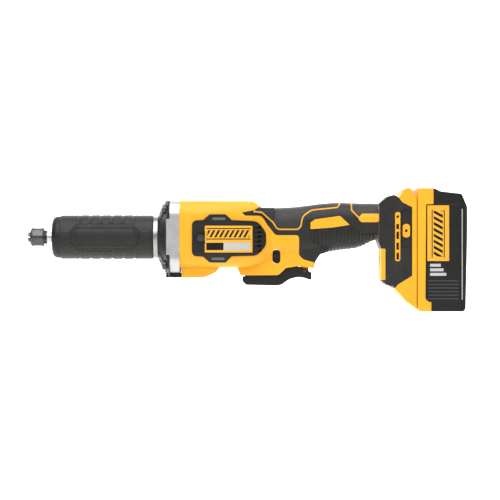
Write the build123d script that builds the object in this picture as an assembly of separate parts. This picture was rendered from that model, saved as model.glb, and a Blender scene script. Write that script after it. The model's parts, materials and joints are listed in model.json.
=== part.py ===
from build123d import *
import math
import os

# Cordless die grinder. Millimetres. X runs from the collet mouth back to the battery, Z is up, and the
# spindle turns about X, so the origin is the middle of the collet mouth. Left is -Y and right is +Y.

# ---- Clearances ----
SLIDE_GAP = 0.35            # between a moving piece and the piece that guides it
RUNNING_GAP = 0.6           # round turning pieces that nothing guides

# ---- Collet, nut and spindle ----
SHANK_RADIUS = 3.0          # bit shank that the collet holds
COLLET_PROUD = 2.3          # collet in front of its nut
COLLET_TIP_RADIUS = 4.75
COLLET_SHOULDER_RADIUS = 5.6
COLLET_LENGTH = 21.0
COLLET_SLIT = 0.8
NUT_LENGTH = 13.1
NUT_RADIUS = 9.1
NUT_FLAT_WIDTH = 17.0       # across the wrench flats
NUT_BEVEL = 2.0
THREAD_RADIUS = 6.0         # spindle nose thread
THREAD_FRONT = 8.0          # spindle's front face
TAPER_MOUTH_RADIUS = 5.1    # collet seat at the spindle's front face
DUST_RING_LENGTH = 2.6
DUST_RING_RADIUS = 6.55
SPINDLE_NECK_RADIUS = 5.5
SPINDLE_FLAT_WIDTH = 9.4
NECK_LENGTH = 5.4           # bare spindle between dust ring and bezel
SHANK_DEPTH = 62.0          # bottom of the spindle's bore

# ---- Nose ----
BEZEL_LENGTH = 8.2
BEZEL_RADIUS = 20.15
BEZEL_ROUND = 5.5
SLEEVE_LENGTH = 89.1
SLEEVE_RADIUS = 21.35
SLEEVE_WALL = 2.4
CLAMP_RING_LENGTH = 5.4
CLAMP_RING_RADIUS = 20.5
BARREL_BORE_RADIUS = 11.0
BARREL_TAIL_RADIUS = 16.9
BARREL_TAIL_LENGTH = 4.6    # barrel inside the front cover
RETAINER_LENGTH = 3.0
RETAINER_HOLE_RADIUS = 9.5
FRONT_BEARING = (6.0, 14.0, 8.0)    # shaft radius, outer radius, width
FRONT_BEARING_SPACING = 9.5
REAR_BEARING = (5.0, 13.0, 8.0)
REAR_BEARING_SETBACK = 17.0         # from the sleeve's rear end to the bearing's front
MOTOR_BEARING = (4.0, 11.0, 7.0)
RACE_WALL = 2.0
COUPLING_RADIUS = 9.0
COUPLING_LENGTH = 17.0
SPINDLE_TAIL_LENGTH = 8.0           # spindle inside the coupling

# ---- Front cover and motor plate ----
COVER_LENGTH = 11.6
COVER_FLARE_LENGTH = 6.4    # from the clamp ring to the full section
CASE_HALF_WIDTH = 35.2
CASE_TOP = 34.9
CASE_CORNER = 15.0
COVER_BOTTOM = -38.9
COVER_WALL = 4.0
COVER_RIB_THICKNESS = 3.0
COVER_SCREW_Y = 25.5
COVER_SCREW_Z = (26.6, -27.0)
COVER_SCREW_POCKET_RADIUS = 5.2
COVER_SCREW_HEAD = (4.2, 3.4)       # radius, length
COVER_SCREW_RADIUS = 2.0
COVER_SCREW_LENGTH = 16.0
COVER_SCREW_HEX = 2.9               # across corners of the drive socket
PLATE_LENGTH = 9.3
PLATE_BOTTOM = -34.3
PLATE_LUG_DEPTH = 3.3       # the plate's side lugs reach forward into the cover
PLATE_LUG_HALF_HEIGHT = 17.0
PLATE_LUG_THICKNESS = 5.0

# ---- Motor ----
FAN_GAP = 1.8               # from the plate to the fan
FAN_LENGTH = 8.0
FAN_RADIUS = 25.5
FAN_BLADES = 11
STATOR_GAP = 3.0            # from the fan to the stator
STATOR_LENGTH = 34.0
STATOR_RADIUS = 26.0
STATOR_BORE_RADIUS = 14.5
STATOR_YOKE = 4.0
STATOR_TEETH = 9
TOOTH_WIDTH = 4.2
COIL_WIDTH = 8.4
COIL_OVERHANG = 1.8
ROTOR_RADIUS = 13.8
CARRIER_GAP = 3.0           # from the stator to the rear bearing carrier
CARRIER_LENGTH = 9.0
CARRIER_RADIUS = 25.5
CARRIER_ARM_WIDTH = 7.0

# ---- Housing ----
HOUSING_WALL = 2.8
SKIN = 1.6                  # depth of the rubber and covers let into the housing
OVERMOULD_GAP = 0.15        # from the handle's rubber to the foot
MOTOR_BAY_LENGTH = 76.7     # from the plate to the handle
MOTOR_BAY_BOTTOM = -29.5
HANDLE_LENGTH = 114.0
HANDLE_HALF_WIDTH = 19.6
HANDLE_CORNER = 16.5
SKIRT_HALF_WIDTH = 24.0
SKIRT_LENGTH = 37.6
SKIRT_DROP = 9.2            # skirt below the motor bay
HOOD_HALF_WIDTH = 16.8
FOOT_LENGTH = 34.9
FOOT_HALF_WIDTH = 37.3
STRIPE_WIDTH = 1.3
BOSS_RADIUS = 3.8
SCREW_RADIUS = 1.5
SCREW_HEAD = (3.0, 2.4)
SCREW_TIP_DEPTH = 9.0       # screw reach into the left half

# ---- Side covers ----
SIDE_COVER_PROUD = 1.1
SIDE_COVER_VENTS = 6
VENT_PITCH = 4.5
VENT_HEIGHT = 2.1
VENT_LENGTH = 6.2
SIDE_COVER_SCREW = (3.4, 1.6)       # head radius, height
SIDE_COVER_RECESS_RADIUS = 5.9

# ---- Paddle, lock and switch ----
PADDLE_LENGTH = 66.5
PADDLE_HALF_WIDTH = 13.4
PADDLE_WALL = 2.2
PADDLE_TRAVEL = 6.0         # degrees
PIVOT_HALF_WIDTH = 5.0
PIVOT_RADIUS = 1.5
PADDLE_SPRING_RADIUS = 4.2
PADDLE_SPRING_WIRE = 0.9
LOCK_WIDTH = 6.8
LOCK_HEIGHT = 13.1
LOCK_RECESS = 2.2
LOCK_TRAVEL = 4.0
SWITCH_SIZE = (30.0, 22.0, 21.0)
PLUNGER_RADIUS = 2.2

# ---- Speed dial ----
DIAL_RADIUS = 8.0
DIAL_WIDTH = 7.0
DIAL_NOTCHES = 24
DIAL_SHAFT_RADIUS = 1.5
DIAL_BEZEL_HALF_WIDTH = 8.0

# ---- Battery ----
BATTERY_GAP = 0.6           # between the tool's foot and the battery
BATTERY_DEPTH = 48.5
BATTERY_HALF_WIDTH = 37.5
BATTERY_TOP = 46.3
BATTERY_BOTTOM = -71.0
BATTERY_WALL = 2.2
BATTERY_DRAFT = 2.6         # the outer face leans this far over its height
TOWER_DEPTH = 12.5
TOWER_HALF_WIDTH = 21.5
TOWER_TOP = 38.0
TOWER_BOTTOM = -36.0
RAIL_DEPTH = 3.0
RAIL_HEIGHT = 3.0
RAIL_OFFSET = 2.2           # from the battery's face to the rail groove
CELL_RADIUS = 9.2
CELL_LENGTH = 65.0
CELL_PITCH = 18.8
CELLS_ACROSS = 5
CELL_LAYERS = 2
BLADE_THICKNESS = 0.9
BLADE_LENGTH = 13.0
BLADES = 4
BLADE_PITCH = 8.5
RELEASE_TRAVEL = 3.5
GAUGE_TRAVEL = 1.0

# ---- Places along X ----
NUT_FRONT = COLLET_PROUD
NUT_REAR = NUT_FRONT + NUT_LENGTH
DUST_RING_FRONT = NUT_REAR + SLIDE_GAP
DUST_RING_REAR = DUST_RING_FRONT + DUST_RING_LENGTH
BEZEL_FRONT = DUST_RING_REAR + NECK_LENGTH
SLEEVE_FRONT = BEZEL_FRONT + BEZEL_LENGTH
SLEEVE_REAR = SLEEVE_FRONT + SLEEVE_LENGTH
COVER_FRONT = SLEEVE_REAR + CLAMP_RING_LENGTH
COVER_REAR = COVER_FRONT + COVER_LENGTH
PLATE_REAR = COVER_REAR + PLATE_LENGTH
HANDLE_FRONT = PLATE_REAR + MOTOR_BAY_LENGTH
FOOT_FRONT = HANDLE_FRONT + HANDLE_LENGTH
FOOT_REAR = FOOT_FRONT + FOOT_LENGTH
BATTERY_FRONT = FOOT_REAR + BATTERY_GAP
BATTERY_REAR = BATTERY_FRONT + BATTERY_DEPTH
BARREL_RADIUS = SLEEVE_RADIUS - SLEEVE_WALL
FRONT_BEARING_X = SLEEVE_FRONT + RETAINER_LENGTH
REAR_BEARING_X = SLEEVE_REAR - REAR_BEARING_SETBACK
COUPLING_X = REAR_BEARING_X + REAR_BEARING[2] + 4.0
PLATE_BEARING_X = COVER_REAR + 1.0
FAN_X = PLATE_REAR + FAN_GAP
STATOR_X = FAN_X + FAN_LENGTH + STATOR_GAP
CARRIER_X = STATOR_X + STATOR_LENGTH + CARRIER_GAP
CARRIER_BEARING_X = CARRIER_X + 1.0

# ---- Places on the handle, from HANDLE_FRONT and the spindle axis ----
PIVOT = (HANDLE_FRONT + 43.0, -32.5)
LOCK = (HANDLE_FRONT + 15.8, -18.8)
SPRING_X = HANDLE_FRONT + 27.0
SPRING_FOOT = -37.0
SPRING_TOP = -23.5
PLUNGER_X = HANDLE_FRONT + 2.0
DIAL = (FOOT_FRONT + 1.5 + DIAL_RADIUS, -20.8)


# ---- Shape helpers ----
def turned(*profile):
    """A solid turned about the spindle axis from (x, radius) points."""
    return revolve(make_face(Polyline(*profile, close=True)), Axis.X)


def tube(x, length, outer, inner=0.0):
    """A ring or disc on the spindle axis that starts at x."""
    return turned((x, inner), (x + length, inner), (x + length, outer), (x, outer))


def block(x, y, z):
    """A box from its (low, high) pairs."""
    size = [high - low for low, high in (x, y, z)]
    middle = [(high + low) / 2 for low, high in (x, y, z)]
    return Pos(*middle) * Box(*size)


def round_block(x, y, z, radius, along="y"):
    """A box with its four corners rounded, seen along one axis."""
    plane = {"x": Plane.YZ, "y": Plane.XZ, "z": Plane.XY}[along]
    spans = {"x": (y, z, x), "y": (x, z, y), "z": (x, y, z)}[along]
    wide, tall, deep = [high - low for low, high in spans]
    face = plane * RectangleRounded(wide, tall, radius)
    middle = [(high + low) / 2 for low, high in (x, y, z)]
    return Pos(*middle) * extrude(face, deep / 2, both=True)


def cross_rod(x, z, y, radius):
    """A rod along Y between two values of y."""
    low, high = y
    return Pos(x, (low + high) / 2, z) * Rot(90, 0, 0) * Cylinder(radius, high - low)


def long_rod(x, y, z, radius):
    """A rod along X between two values of x."""
    low, high = x
    return Pos((low + high) / 2, y, z) * Rot(0, 90, 0) * Cylinder(radius, high - low)


def outline(points, inset=0.0):
    """A face from (u, v) or (u, v, corner radius) points, shrunk by the inset."""
    corners = [(point[0], point[1]) for point in points]
    radii = [point[2] if len(point) > 2 else 0 for point in points]
    face = make_face(FilletPolyline(*corners, radius=radii, close=True))
    if inset:
        face = offset(face, amount=-inset, kind=Kind.INTERSECTION)
    return face


def side_prism(points, half_width, inset=0.0):
    """A prism across Y from an outline in X and Z."""
    return extrude(Plane.XZ * outline(points, inset), half_width - inset, both=True)


def top_prism(points, low, high, inset=0.0):
    """A prism up Z from an outline in X and Y."""
    return Pos(0, 0, low) * extrude(outline(points, inset), high - low)


def side_only(shape, side):
    """The half of a shape on one side: -1 is left and 1 is right."""
    y = (-60.0, 0.0) if side < 0 else (0.0, 60.0)
    return shape & block((-20.0, 500.0), y, (-120.0, 90.0))


def lofted(sections):
    """A smooth body through (x, top, bottom, half width, corner radius) sections."""
    faces = []
    for x, top, bottom, half_width, corner in sections:
        plane = Plane(origin=(x, 0, (top + bottom) / 2), x_dir=(0, 1, 0), z_dir=(1, 0, 0))
        faces.append(plane * RectangleRounded(2 * half_width, top - bottom, corner))
    return loft(faces)


def coil(radius, wire, height, turns):
    """An open coil spring standing on the origin along Z."""
    path = Helix(pitch=(height - 2 * wire) / turns, height=height - 2 * wire, radius=radius)
    section = Plane(origin=path @ 0, z_dir=path % 0) * Circle(wire / 2)
    return Pos(0, 0, wire) * sweep(section, path=path, is_frenet=True)


def wire_run(points, radius, bend):
    """A round lead along straight runs joined by arcs."""
    path = FilletPolyline(*points, radius=bend)
    section = Plane(origin=path @ 0, z_dir=path % 0) * Circle(radius)
    return sweep(section, path=path)


def save(name, shape):
    """Write one sub-part as parts/NAME.step."""
    solids = list(shape.solids())
    export_step(solids[0] if len(solids) == 1 else Compound(children=solids), f"parts/{name}.step")


# ---- Collet, nut and spindle ----
def collet():
    """Slotted collet: proud tip, shoulder inside the nut and a taper inside the spindle."""
    tail = COLLET_LENGTH
    seat = THREAD_FRONT - 0.3
    body = turned(
        (0, SHANK_RADIUS), (tail, SHANK_RADIUS), (tail, taper_radius(tail)), (seat, taper_radius(seat)),
        (seat, COLLET_SHOULDER_RADIUS - 0.5), (seat - 1.5, COLLET_SHOULDER_RADIUS),
        (NUT_FRONT + 0.6, COLLET_TIP_RADIUS), (0.5, COLLET_TIP_RADIUS), (0, COLLET_TIP_RADIUS - 0.5),
    )
    for turn in (0, 90):
        slit = block((-1, tail - 4), (-COLLET_SLIT / 2, COLLET_SLIT / 2), (-12, 12))
        body -= Rot(turn, 0, 0) * slit
    return body


def taper_radius(x):
    """The collet's taper, which keeps a running gap to the spindle's seat."""
    return seat_radius(x) - SLIDE_GAP


def seat_radius(x):
    """The spindle's inner taper: a 3.5 degree seat from its front face."""
    return TAPER_MOUTH_RADIUS - (x - THREAD_FRONT) * math.tan(math.radians(3.5))


def collet_nut():
    """Round nut with a bevelled front, two wrench flats and a plain bore where its thread is."""
    bore = THREAD_RADIUS + SLIDE_GAP
    mouth = COLLET_TIP_RADIUS + SLIDE_GAP
    body = turned(
        (NUT_FRONT, mouth), (NUT_FRONT + 1.2, mouth), (THREAD_FRONT - 1.6, bore), (NUT_REAR, bore),
        (NUT_REAR, NUT_RADIUS - 0.6), (NUT_REAR - 0.6, NUT_RADIUS),
        (NUT_FRONT + NUT_BEVEL, NUT_RADIUS), (NUT_FRONT, NUT_RADIUS - NUT_BEVEL),
    )
    for turn in range(0, 360, 60):
        flat = block((NUT_FRONT + 3, NUT_REAR - 1.5), (-20, 20), (NUT_FLAT_WIDTH / 2, 20))
        body -= Rot(turn, 0, 0) * flat
    return body


def spindle():
    """Hollow-nosed shaft with its thread, wrench flats, bearing seats and tail."""
    seat_end = COLLET_LENGTH + 1.5
    bore = SHANK_RADIUS + 0.3
    shoulder = FRONT_BEARING_X + FRONT_BEARING_SPACING + FRONT_BEARING[2] + 0.4
    thread_end = DUST_RING_FRONT - 0.2
    body = turned(
        (THREAD_FRONT, seat_radius(THREAD_FRONT)), (seat_end, seat_radius(seat_end)),
        (seat_end, bore), (SHANK_DEPTH, bore), (SHANK_DEPTH + 2, 0),
        (COUPLING_X + SPINDLE_TAIL_LENGTH, 0), (COUPLING_X + SPINDLE_TAIL_LENGTH, MOTOR_BEARING[0]),
        (REAR_BEARING_X + REAR_BEARING[2], MOTOR_BEARING[0]),
        (REAR_BEARING_X + REAR_BEARING[2], REAR_BEARING[0]), (REAR_BEARING_X, REAR_BEARING[0]),
        (REAR_BEARING_X, REAR_BEARING[0] + 2), (shoulder, REAR_BEARING[0] + 2),
        (shoulder, FRONT_BEARING[0]), (SLEEVE_FRONT + 1, FRONT_BEARING[0]),
        (SLEEVE_FRONT + 1, SPINDLE_NECK_RADIUS), (thread_end, SPINDLE_NECK_RADIUS),
        (thread_end, THREAD_RADIUS), (THREAD_FRONT + 0.5, THREAD_RADIUS), (THREAD_FRONT, THREAD_RADIUS - 0.5),
    )
    for turn in (0, 180):
        flat = block((DUST_RING_REAR + 0.6, BEZEL_FRONT - 0.3), (-20, 20), (SPINDLE_FLAT_WIDTH / 2, 20))
        body -= Rot(turn, 0, 0) * flat
    return body


def spindle_dust_ring():
    return tube(DUST_RING_FRONT, DUST_RING_LENGTH, DUST_RING_RADIUS, SPINDLE_NECK_RADIUS)


# ---- Nose ----
def nose_bezel():
    """Rounded front cap with a bore for the spindle and a pocket for the seal."""
    bore = SPINDLE_NECK_RADIUS + RUNNING_GAP
    rim = fillet(tube(BEZEL_FRONT, BEZEL_LENGTH, BEZEL_RADIUS).edges().group_by(Axis.X)[0], BEZEL_ROUND)
    cavity = tube(BEZEL_FRONT - 1, BEZEL_LENGTH + 2, bore) + tube(BEZEL_FRONT + 2.4, BEZEL_LENGTH, 10.0)
    return rim - cavity


def nose_seal():
    bore = SPINDLE_NECK_RADIUS + SLIDE_GAP
    return tube(BEZEL_FRONT + 2.4, 3.0, 10.0, bore)


def bearing_retainer():
    body = tube(SLEEVE_FRONT, RETAINER_LENGTH, FRONT_BEARING[1], RETAINER_HOLE_RADIUS)
    for turn in range(0, 360, 90):
        body -= Rot(turn, 0, 0) * long_rod((SLEEVE_FRONT - 1, SLEEVE_FRONT + 1.6), 11.8, 0, 1.0)
    return body


def nose_barrel():
    """Steel barrel: a bearing pocket at each end and a tail that the front cover grips."""
    front_pocket = FRONT_BEARING_X + FRONT_BEARING_SPACING + FRONT_BEARING[2]
    tail = COVER_FRONT + BARREL_TAIL_LENGTH
    return turned(
        (SLEEVE_FRONT, FRONT_BEARING[1]), (front_pocket, FRONT_BEARING[1]), (front_pocket, BARREL_BORE_RADIUS),
        (REAR_BEARING_X, BARREL_BORE_RADIUS), (REAR_BEARING_X, REAR_BEARING[1]), (tail, REAR_BEARING[1]),
        (tail, BARREL_TAIL_RADIUS), (SLEEVE_REAR, BARREL_TAIL_RADIUS), (SLEEVE_REAR, BARREL_RADIUS),
        (SLEEVE_FRONT, BARREL_RADIUS),
    )


def rubber_sleeve():
    """Rubber sleeve over the barrel, as a plain tube to its crests."""
    return tube(SLEEVE_FRONT, SLEEVE_LENGTH, SLEEVE_RADIUS, BARREL_RADIUS)


def clamp_ring():
    body = tube(SLEEVE_REAR, CLAMP_RING_LENGTH, CLAMP_RING_RADIUS, BARREL_TAIL_RADIUS)
    return chamfer(body.edges().filter_by(GeomType.CIRCLE).sort_by(SortBy.RADIUS)[-3:], 0.7)


def bearing_ring(x, size):
    """Outer ring with its two shields, open in the middle for the race."""
    shaft, outer, width = size
    middle = shaft + RACE_WALL
    return tube(x, width, outer, middle + SLIDE_GAP)


def bearing_race(x, size):
    shaft, _, width = size
    return tube(x, width, shaft + RACE_WALL, shaft)


def bearings(piece):
    """The pair behind the nose, the one at the barrel's rear and the motor's two."""
    places = [(FRONT_BEARING_X + index * FRONT_BEARING_SPACING, FRONT_BEARING) for index in range(2)]
    places += [(REAR_BEARING_X, REAR_BEARING), (PLATE_BEARING_X, MOTOR_BEARING), (CARRIER_BEARING_X, MOTOR_BEARING)]
    return Compound(children=[piece(x, size) for x, size in places])


def shaft_coupling():
    """Steel sleeve between the spindle's tail and the motor shaft, with two grub screw holes."""
    body = tube(COUPLING_X, COUPLING_LENGTH, COUPLING_RADIUS, MOTOR_BEARING[0])
    for x in (COUPLING_X + 4, COUPLING_X + COUPLING_LENGTH - 4):
        body -= Pos(x, 0, 7) * Cylinder(1.5, 8)
    return body


# ---- Front cover and motor plate ----
def case_section(x, length, bottom, inset=0.0):
    """A length of the square case behind the nose."""
    corner = CASE_CORNER - inset
    y = CASE_HALF_WIDTH - inset
    return round_block((x, x + length), (-y, y), (bottom + inset, CASE_TOP - inset), corner, "x")


def cover_cone(radius_change):
    """The cone that flares the cover out from the clamp ring."""
    start = CLAMP_RING_RADIUS + radius_change
    slope = (CASE_TOP - CLAMP_RING_RADIUS) / COVER_FLARE_LENGTH
    end = start + slope * (COVER_LENGTH + 14)
    return turned((COVER_FRONT, 0), (COVER_FRONT, start), (COVER_REAR + 14, end), (COVER_REAR + 14, 0))


def screw_places():
    return [(y, z) for y in (-COVER_SCREW_Y, COVER_SCREW_Y) for z in COVER_SCREW_Z]


def front_cover():
    """Cast cover that flares from round to square, ribbed, with four screw pockets."""
    body = case_section(COVER_FRONT, COVER_LENGTH, COVER_BOTTOM)
    hollow = case_section(COVER_FRONT + COVER_WALL, COVER_LENGTH, COVER_BOTTOM, COVER_WALL)
    shelf_y = CASE_HALF_WIDTH - CASE_CORNER
    body &= cover_cone(0.0)
    hub = tube(COVER_FRONT, BARREL_TAIL_LENGTH, CLAMP_RING_RADIUS)
    cavity = hollow & cover_cone(-COVER_WALL)
    seats = [long_rod((COVER_FRONT, COVER_REAR), y, z, COVER_SCREW_POCKET_RADIUS + 2) for y, z in screw_places()]
    body = body - (cavity - hub - Compound(children=seats))
    body += block((COVER_REAR - 4, PLATE_REAR + 1.3), (-shelf_y, shelf_y), (COVER_BOTTOM, PLATE_BOTTOM - 0.4))
    body -= tube(COVER_FRONT - 1, COVER_LENGTH + 5, BARREL_TAIL_RADIUS)
    for turn in range(0, 360, 45):
        rib = block((COVER_FRONT, COVER_FRONT + 4), (-COVER_RIB_THICKNESS / 2, COVER_RIB_THICKNESS / 2), (18, 33))
        body += (Rot(turn, 0, 0) * rib) & cover_cone(1.6) & case_section(COVER_FRONT, 20, COVER_BOTTOM)
    for y, z in screw_places():
        body -= long_rod((COVER_FRONT - 1, COVER_REAR - 4), y, z, COVER_SCREW_POCKET_RADIUS)
        body -= long_rod((COVER_FRONT - 1, COVER_REAR + 1), y, z, COVER_SCREW_RADIUS)
    for side in (-1, 1):
        body -= plate_lug(side)
    return body


def plate_lug(side):
    """The part of the motor plate that shows in front of the cover's rear edge."""
    y = sorted((side * (CASE_HALF_WIDTH - PLATE_LUG_THICKNESS), side * CASE_HALF_WIDTH))
    z = (-PLATE_LUG_HALF_HEIGHT, PLATE_LUG_HALF_HEIGHT)
    return block((COVER_REAR - PLATE_LUG_DEPTH, COVER_REAR), y, z)


def front_cover_screws():
    head_radius, head_length = COVER_SCREW_HEAD
    seat = COVER_REAR - 4
    screws = []
    for y, z in screw_places():
        screw = long_rod((seat - head_length, seat), y, z, head_radius)
        screw += long_rod((seat, seat + COVER_SCREW_LENGTH - 4), y, z, COVER_SCREW_RADIUS)
        socket = extrude(Plane.YZ * RegularPolygon(COVER_SCREW_HEX, 6), 2.2)
        screws.append(screw - Pos(seat - head_length, y, z) * socket)
    return Compound(children=screws)


def motor_plate():
    """Aluminium plate that holds the motor's front bearing and takes the cover screws."""
    body = case_section(COVER_REAR, PLATE_LENGTH, PLATE_BOTTOM)
    for side in (-1, 1):
        body += plate_lug(side)
    pocket = tube(PLATE_BEARING_X, PLATE_LENGTH, MOTOR_BEARING[1])
    body -= tube(COVER_REAR - 1, PLATE_LENGTH + 2, COUPLING_RADIUS + RUNNING_GAP) + pocket
    body -= tube(PLATE_REAR - 3.5, 5, STATOR_RADIUS) - tube(PLATE_REAR - 5, 8, MOTOR_BEARING[1] + 2.5)
    for y, z in screw_places():
        body -= long_rod((COVER_REAR - 1, COVER_REAR + COVER_SCREW_LENGTH - 7.6), y, z, COVER_SCREW_RADIUS)
    return body


# ---- Motor ----
def stator_core():
    """Laminated ring with teeth that face the rotor."""
    body = tube(STATOR_X, STATOR_LENGTH, STATOR_RADIUS, STATOR_RADIUS - STATOR_YOKE)
    for index in range(STATOR_TEETH):
        tooth = block(
            (STATOR_X, STATOR_X + STATOR_LENGTH), (-TOOTH_WIDTH / 2, TOOTH_WIDTH / 2),
            (STATOR_BORE_RADIUS - 2, STATOR_RADIUS - STATOR_YOKE / 2),
        )
        body += Rot(index * 360 / STATOR_TEETH, 0, 0) * tooth
    return body - tube(STATOR_X - 1, STATOR_LENGTH + 2, STATOR_BORE_RADIUS)


def stator_coils():
    """One wound coil round each tooth."""
    coils = []
    tooth_gap = 0.1
    for index in range(STATOR_TEETH):
        low, high = STATOR_BORE_RADIUS + 1.6, STATOR_RADIUS - STATOR_YOKE - 0.6
        width = min(COIL_WIDTH, 2 * low * math.tan(math.pi / STATOR_TEETH) - 0.6)
        ends = (STATOR_X - COIL_OVERHANG, STATOR_X + STATOR_LENGTH + COIL_OVERHANG)
        core = (STATOR_X - tooth_gap, STATOR_X + STATOR_LENGTH + tooth_gap)
        half_core = TOOTH_WIDTH / 2 + tooth_gap
        wound = round_block(ends, (-width / 2, width / 2), (low, high), 1.2, "z")
        wound -= block(core, (-half_core, half_core), (low - 1, high + 1))
        coils.append(Rot(index * 360 / STATOR_TEETH, 0, 0) * wound)
    return Compound(children=coils)


def rotor_core():
    """Lamination stack on the shaft, with four magnet slots."""
    body = tube(STATOR_X + 1, STATOR_LENGTH - 2, ROTOR_RADIUS, MOTOR_BEARING[0])
    for turn in range(0, 360, 90):
        slot = block((STATOR_X, STATOR_X + STATOR_LENGTH), (-6.5, 6.5), (9.0, 11.0))
        body -= Rot(turn, 0, 0) * slot
    return body


def rotor_shaft():
    start = COUPLING_X + SPINDLE_TAIL_LENGTH + 1
    return tube(start, CARRIER_BEARING_X + MOTOR_BEARING[2] - start, MOTOR_BEARING[0])


def cooling_fan():
    """Backplate and curved blades on a hub."""
    body = tube(FAN_X, FAN_LENGTH, 7.5, MOTOR_BEARING[0]) + tube(FAN_X + FAN_LENGTH - 1.4, 1.4, FAN_RADIUS, MOTOR_BEARING[0])
    for index in range(FAN_BLADES):
        blade = block((FAN_X, FAN_X + FAN_LENGTH - 1), (-0.6, 0.6), (7.0, FAN_RADIUS - 0.5))
        body += Rot(index * 360 / FAN_BLADES, 0, 0) * (Pos(0, -5, 0) * Rot(14, 0, 0) * blade)
    return body & tube(FAN_X, FAN_LENGTH, FAN_RADIUS, MOTOR_BEARING[0])


def bearing_carrier():
    """Three-armed carrier for the motor's rear bearing."""
    shaft, outer, width = MOTOR_BEARING
    body = tube(CARRIER_X, CARRIER_LENGTH, CARRIER_RADIUS, CARRIER_RADIUS - 3) + tube(CARRIER_X, CARRIER_LENGTH, outer + 2)
    for turn in range(60, 420, 120):
        arm = block(
            (CARRIER_X, CARRIER_X + CARRIER_LENGTH), (-CARRIER_ARM_WIDTH / 2, CARRIER_ARM_WIDTH / 2),
            (outer, CARRIER_RADIUS - 1),
        )
        body += Rot(turn, 0, 0) * arm
    body -= tube(CARRIER_X - 1, CARRIER_LENGTH + 1 - 1.5, shaft + RUNNING_GAP)
    return body - tube(CARRIER_BEARING_X, width, outer) - tube(CARRIER_X - 1, 3, shaft + 3)


# ---- Housing forms ----
def motor_form(inset):
    """The square motor bay, which narrows into the handle and slopes down at its rear top."""
    rear = HANDLE_FRONT + 14
    stations = [
        (PLATE_REAR, CASE_HALF_WIDTH, MOTOR_BAY_BOTTOM, CASE_CORNER),
        (HANDLE_FRONT - 42, CASE_HALF_WIDTH, MOTOR_BAY_BOTTOM, CASE_CORNER),
        (HANDLE_FRONT - 18, CASE_HALF_WIDTH - 2.2, MOTOR_BAY_BOTTOM + 0.6, CASE_CORNER),
        (HANDLE_FRONT, CASE_HALF_WIDTH - 8.6, MOTOR_BAY_BOTTOM + 3.5, CASE_CORNER),
        (rear, HANDLE_HALF_WIDTH, MOTOR_BAY_BOTTOM + 8.5, CASE_CORNER),
    ]
    sections = []
    for x, half_width, bottom, corner in stations:
        sections.append((x, CASE_TOP - inset, bottom + inset, half_width - inset, corner - inset))
    top = CASE_TOP - inset
    shoulder = HANDLE_FRONT - 7.2
    step = 28.0 - inset
    cut = [(PLATE_REAR, -60), (PLATE_REAR, top), (shoulder, top, 3), (HANDLE_FRONT + 1.5, step), (rear, step), (rear, -60)]
    return lofted(sections) & side_prism(cut, 60)


def handle_form(inset):
    """The oval handle, thicker at the rear of the palm swell."""
    stations = [
        (-10, 28.3, -24.0, 22.5), (5, 28.3, -23.5, 21.5), (21, 28.3, -21.3, 20.2), (38, 29.6, -19.8, 19.6),
        (54, 31.6, -17.6, 19.6), (68, 33.0, -14.3, 19.6), (84, 33.1, -12.0, 19.6), (101, 32.6, -7.8, 19.8),
        (HANDLE_LENGTH + 2 + inset, 31.6, -5.0, 20.4),
    ]
    sections = []
    for x, top, bottom, half_width in stations:
        half_height = (top - bottom) / 2
        corner = min(HANDLE_CORNER, half_height - 1, half_width - 1) - inset
        width = half_width * HANDLE_HALF_WIDTH / 19.6
        sections.append((HANDLE_FRONT + x, top - inset, bottom + inset, width - inset, corner))
    return lofted(sections)


def skirt_form(inset):
    """The deeper front of the motor bay, where the cooling air leaves."""
    low = MOTOR_BAY_BOTTOM - SKIRT_DROP
    end = PLATE_REAR + SKIRT_LENGTH
    points = [
        (PLATE_REAR + 1.7, -10), (PLATE_REAR + 1.7, low), (end - 14, low, 9), (end - 3.5, low + 4.6, 3),
        (end, MOTOR_BAY_BOTTOM, 2), (end + 6, MOTOR_BAY_BOTTOM + 6), (end + 6, -10),
    ]
    return side_prism(points, SKIRT_HALF_WIDTH, inset)


def hood_outline():
    """The keel under the handle that the paddle swings into."""
    x = HANDLE_FRONT
    return [
        (x - 22, -8), (x - 22, -29.5, 3), (x - 18.6, -36.9, 1), (x + 17.8, -36.7, 5), (x + 25, -29.7, 5),
        (x + 36, -28.0, 8), (x + 51.8, -30.1, 1), (x + 52.9, -24.2, 3), (x + 57.5, -16.9, 5), (x + 66, -13.0), (x + 66, -4),
    ]


def hood_form(inset):
    return side_prism(hood_outline(), HOOD_HALF_WIDTH, inset)


def foot_outline():
    """The whole foot from the side, with its horn at the top and the wedge behind the battery."""
    x = FOOT_FRONT
    rear = FOOT_REAR
    return [
        (x, 31.6), (x + 8, 38.8, 5), (x + 14, 40.2, 3), (x + 18.5, 36.5, 2), (x + 22.1, 44.5, 3), (x + 25.5, 46.4, 2),
        (x + 30, 46.4, 3), (rear - 2.9, 37.4), (rear, 37.4), (rear, -68.3), (x + 24.3, -60.2, 12),
        (x + 12.5, -46.9, 2), (x + 8, -46.6, 4), (x + 1.8, -41.3, 3), (x + 1.8, -10.5, 4), (x - 1, -4.0),
    ]


def foot_plan():
    """The foot from above: it widens from the handle to the battery."""
    y = FOOT_HALF_WIDTH
    x = FOOT_FRONT
    right = [(x - 1, 22.0), (x + 4, 25.0, 8), (x + 17, y - 1.5, 12), (x + 22, y - 0.3, 4), (FOOT_REAR, y)]
    left = [(point[0], -point[1], *point[2:]) for point in reversed(right)]
    return right + left


def foot_form(inset):
    return side_prism(foot_outline(), 60, inset) & top_prism(foot_plan(), -100, 80, inset)


FORMS = (motor_form, handle_form, skirt_form, hood_form, foot_form)


def outer_form():
    """The whole housing as one solid."""
    body = FORMS[0](0)
    for form in FORMS[1:]:
        body += form(0)
    return body


def hollowed(body, depth):
    """What is left of the housing's solid within a depth of its surface."""
    for form in FORMS:
        body -= form(depth)
    return body


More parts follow.
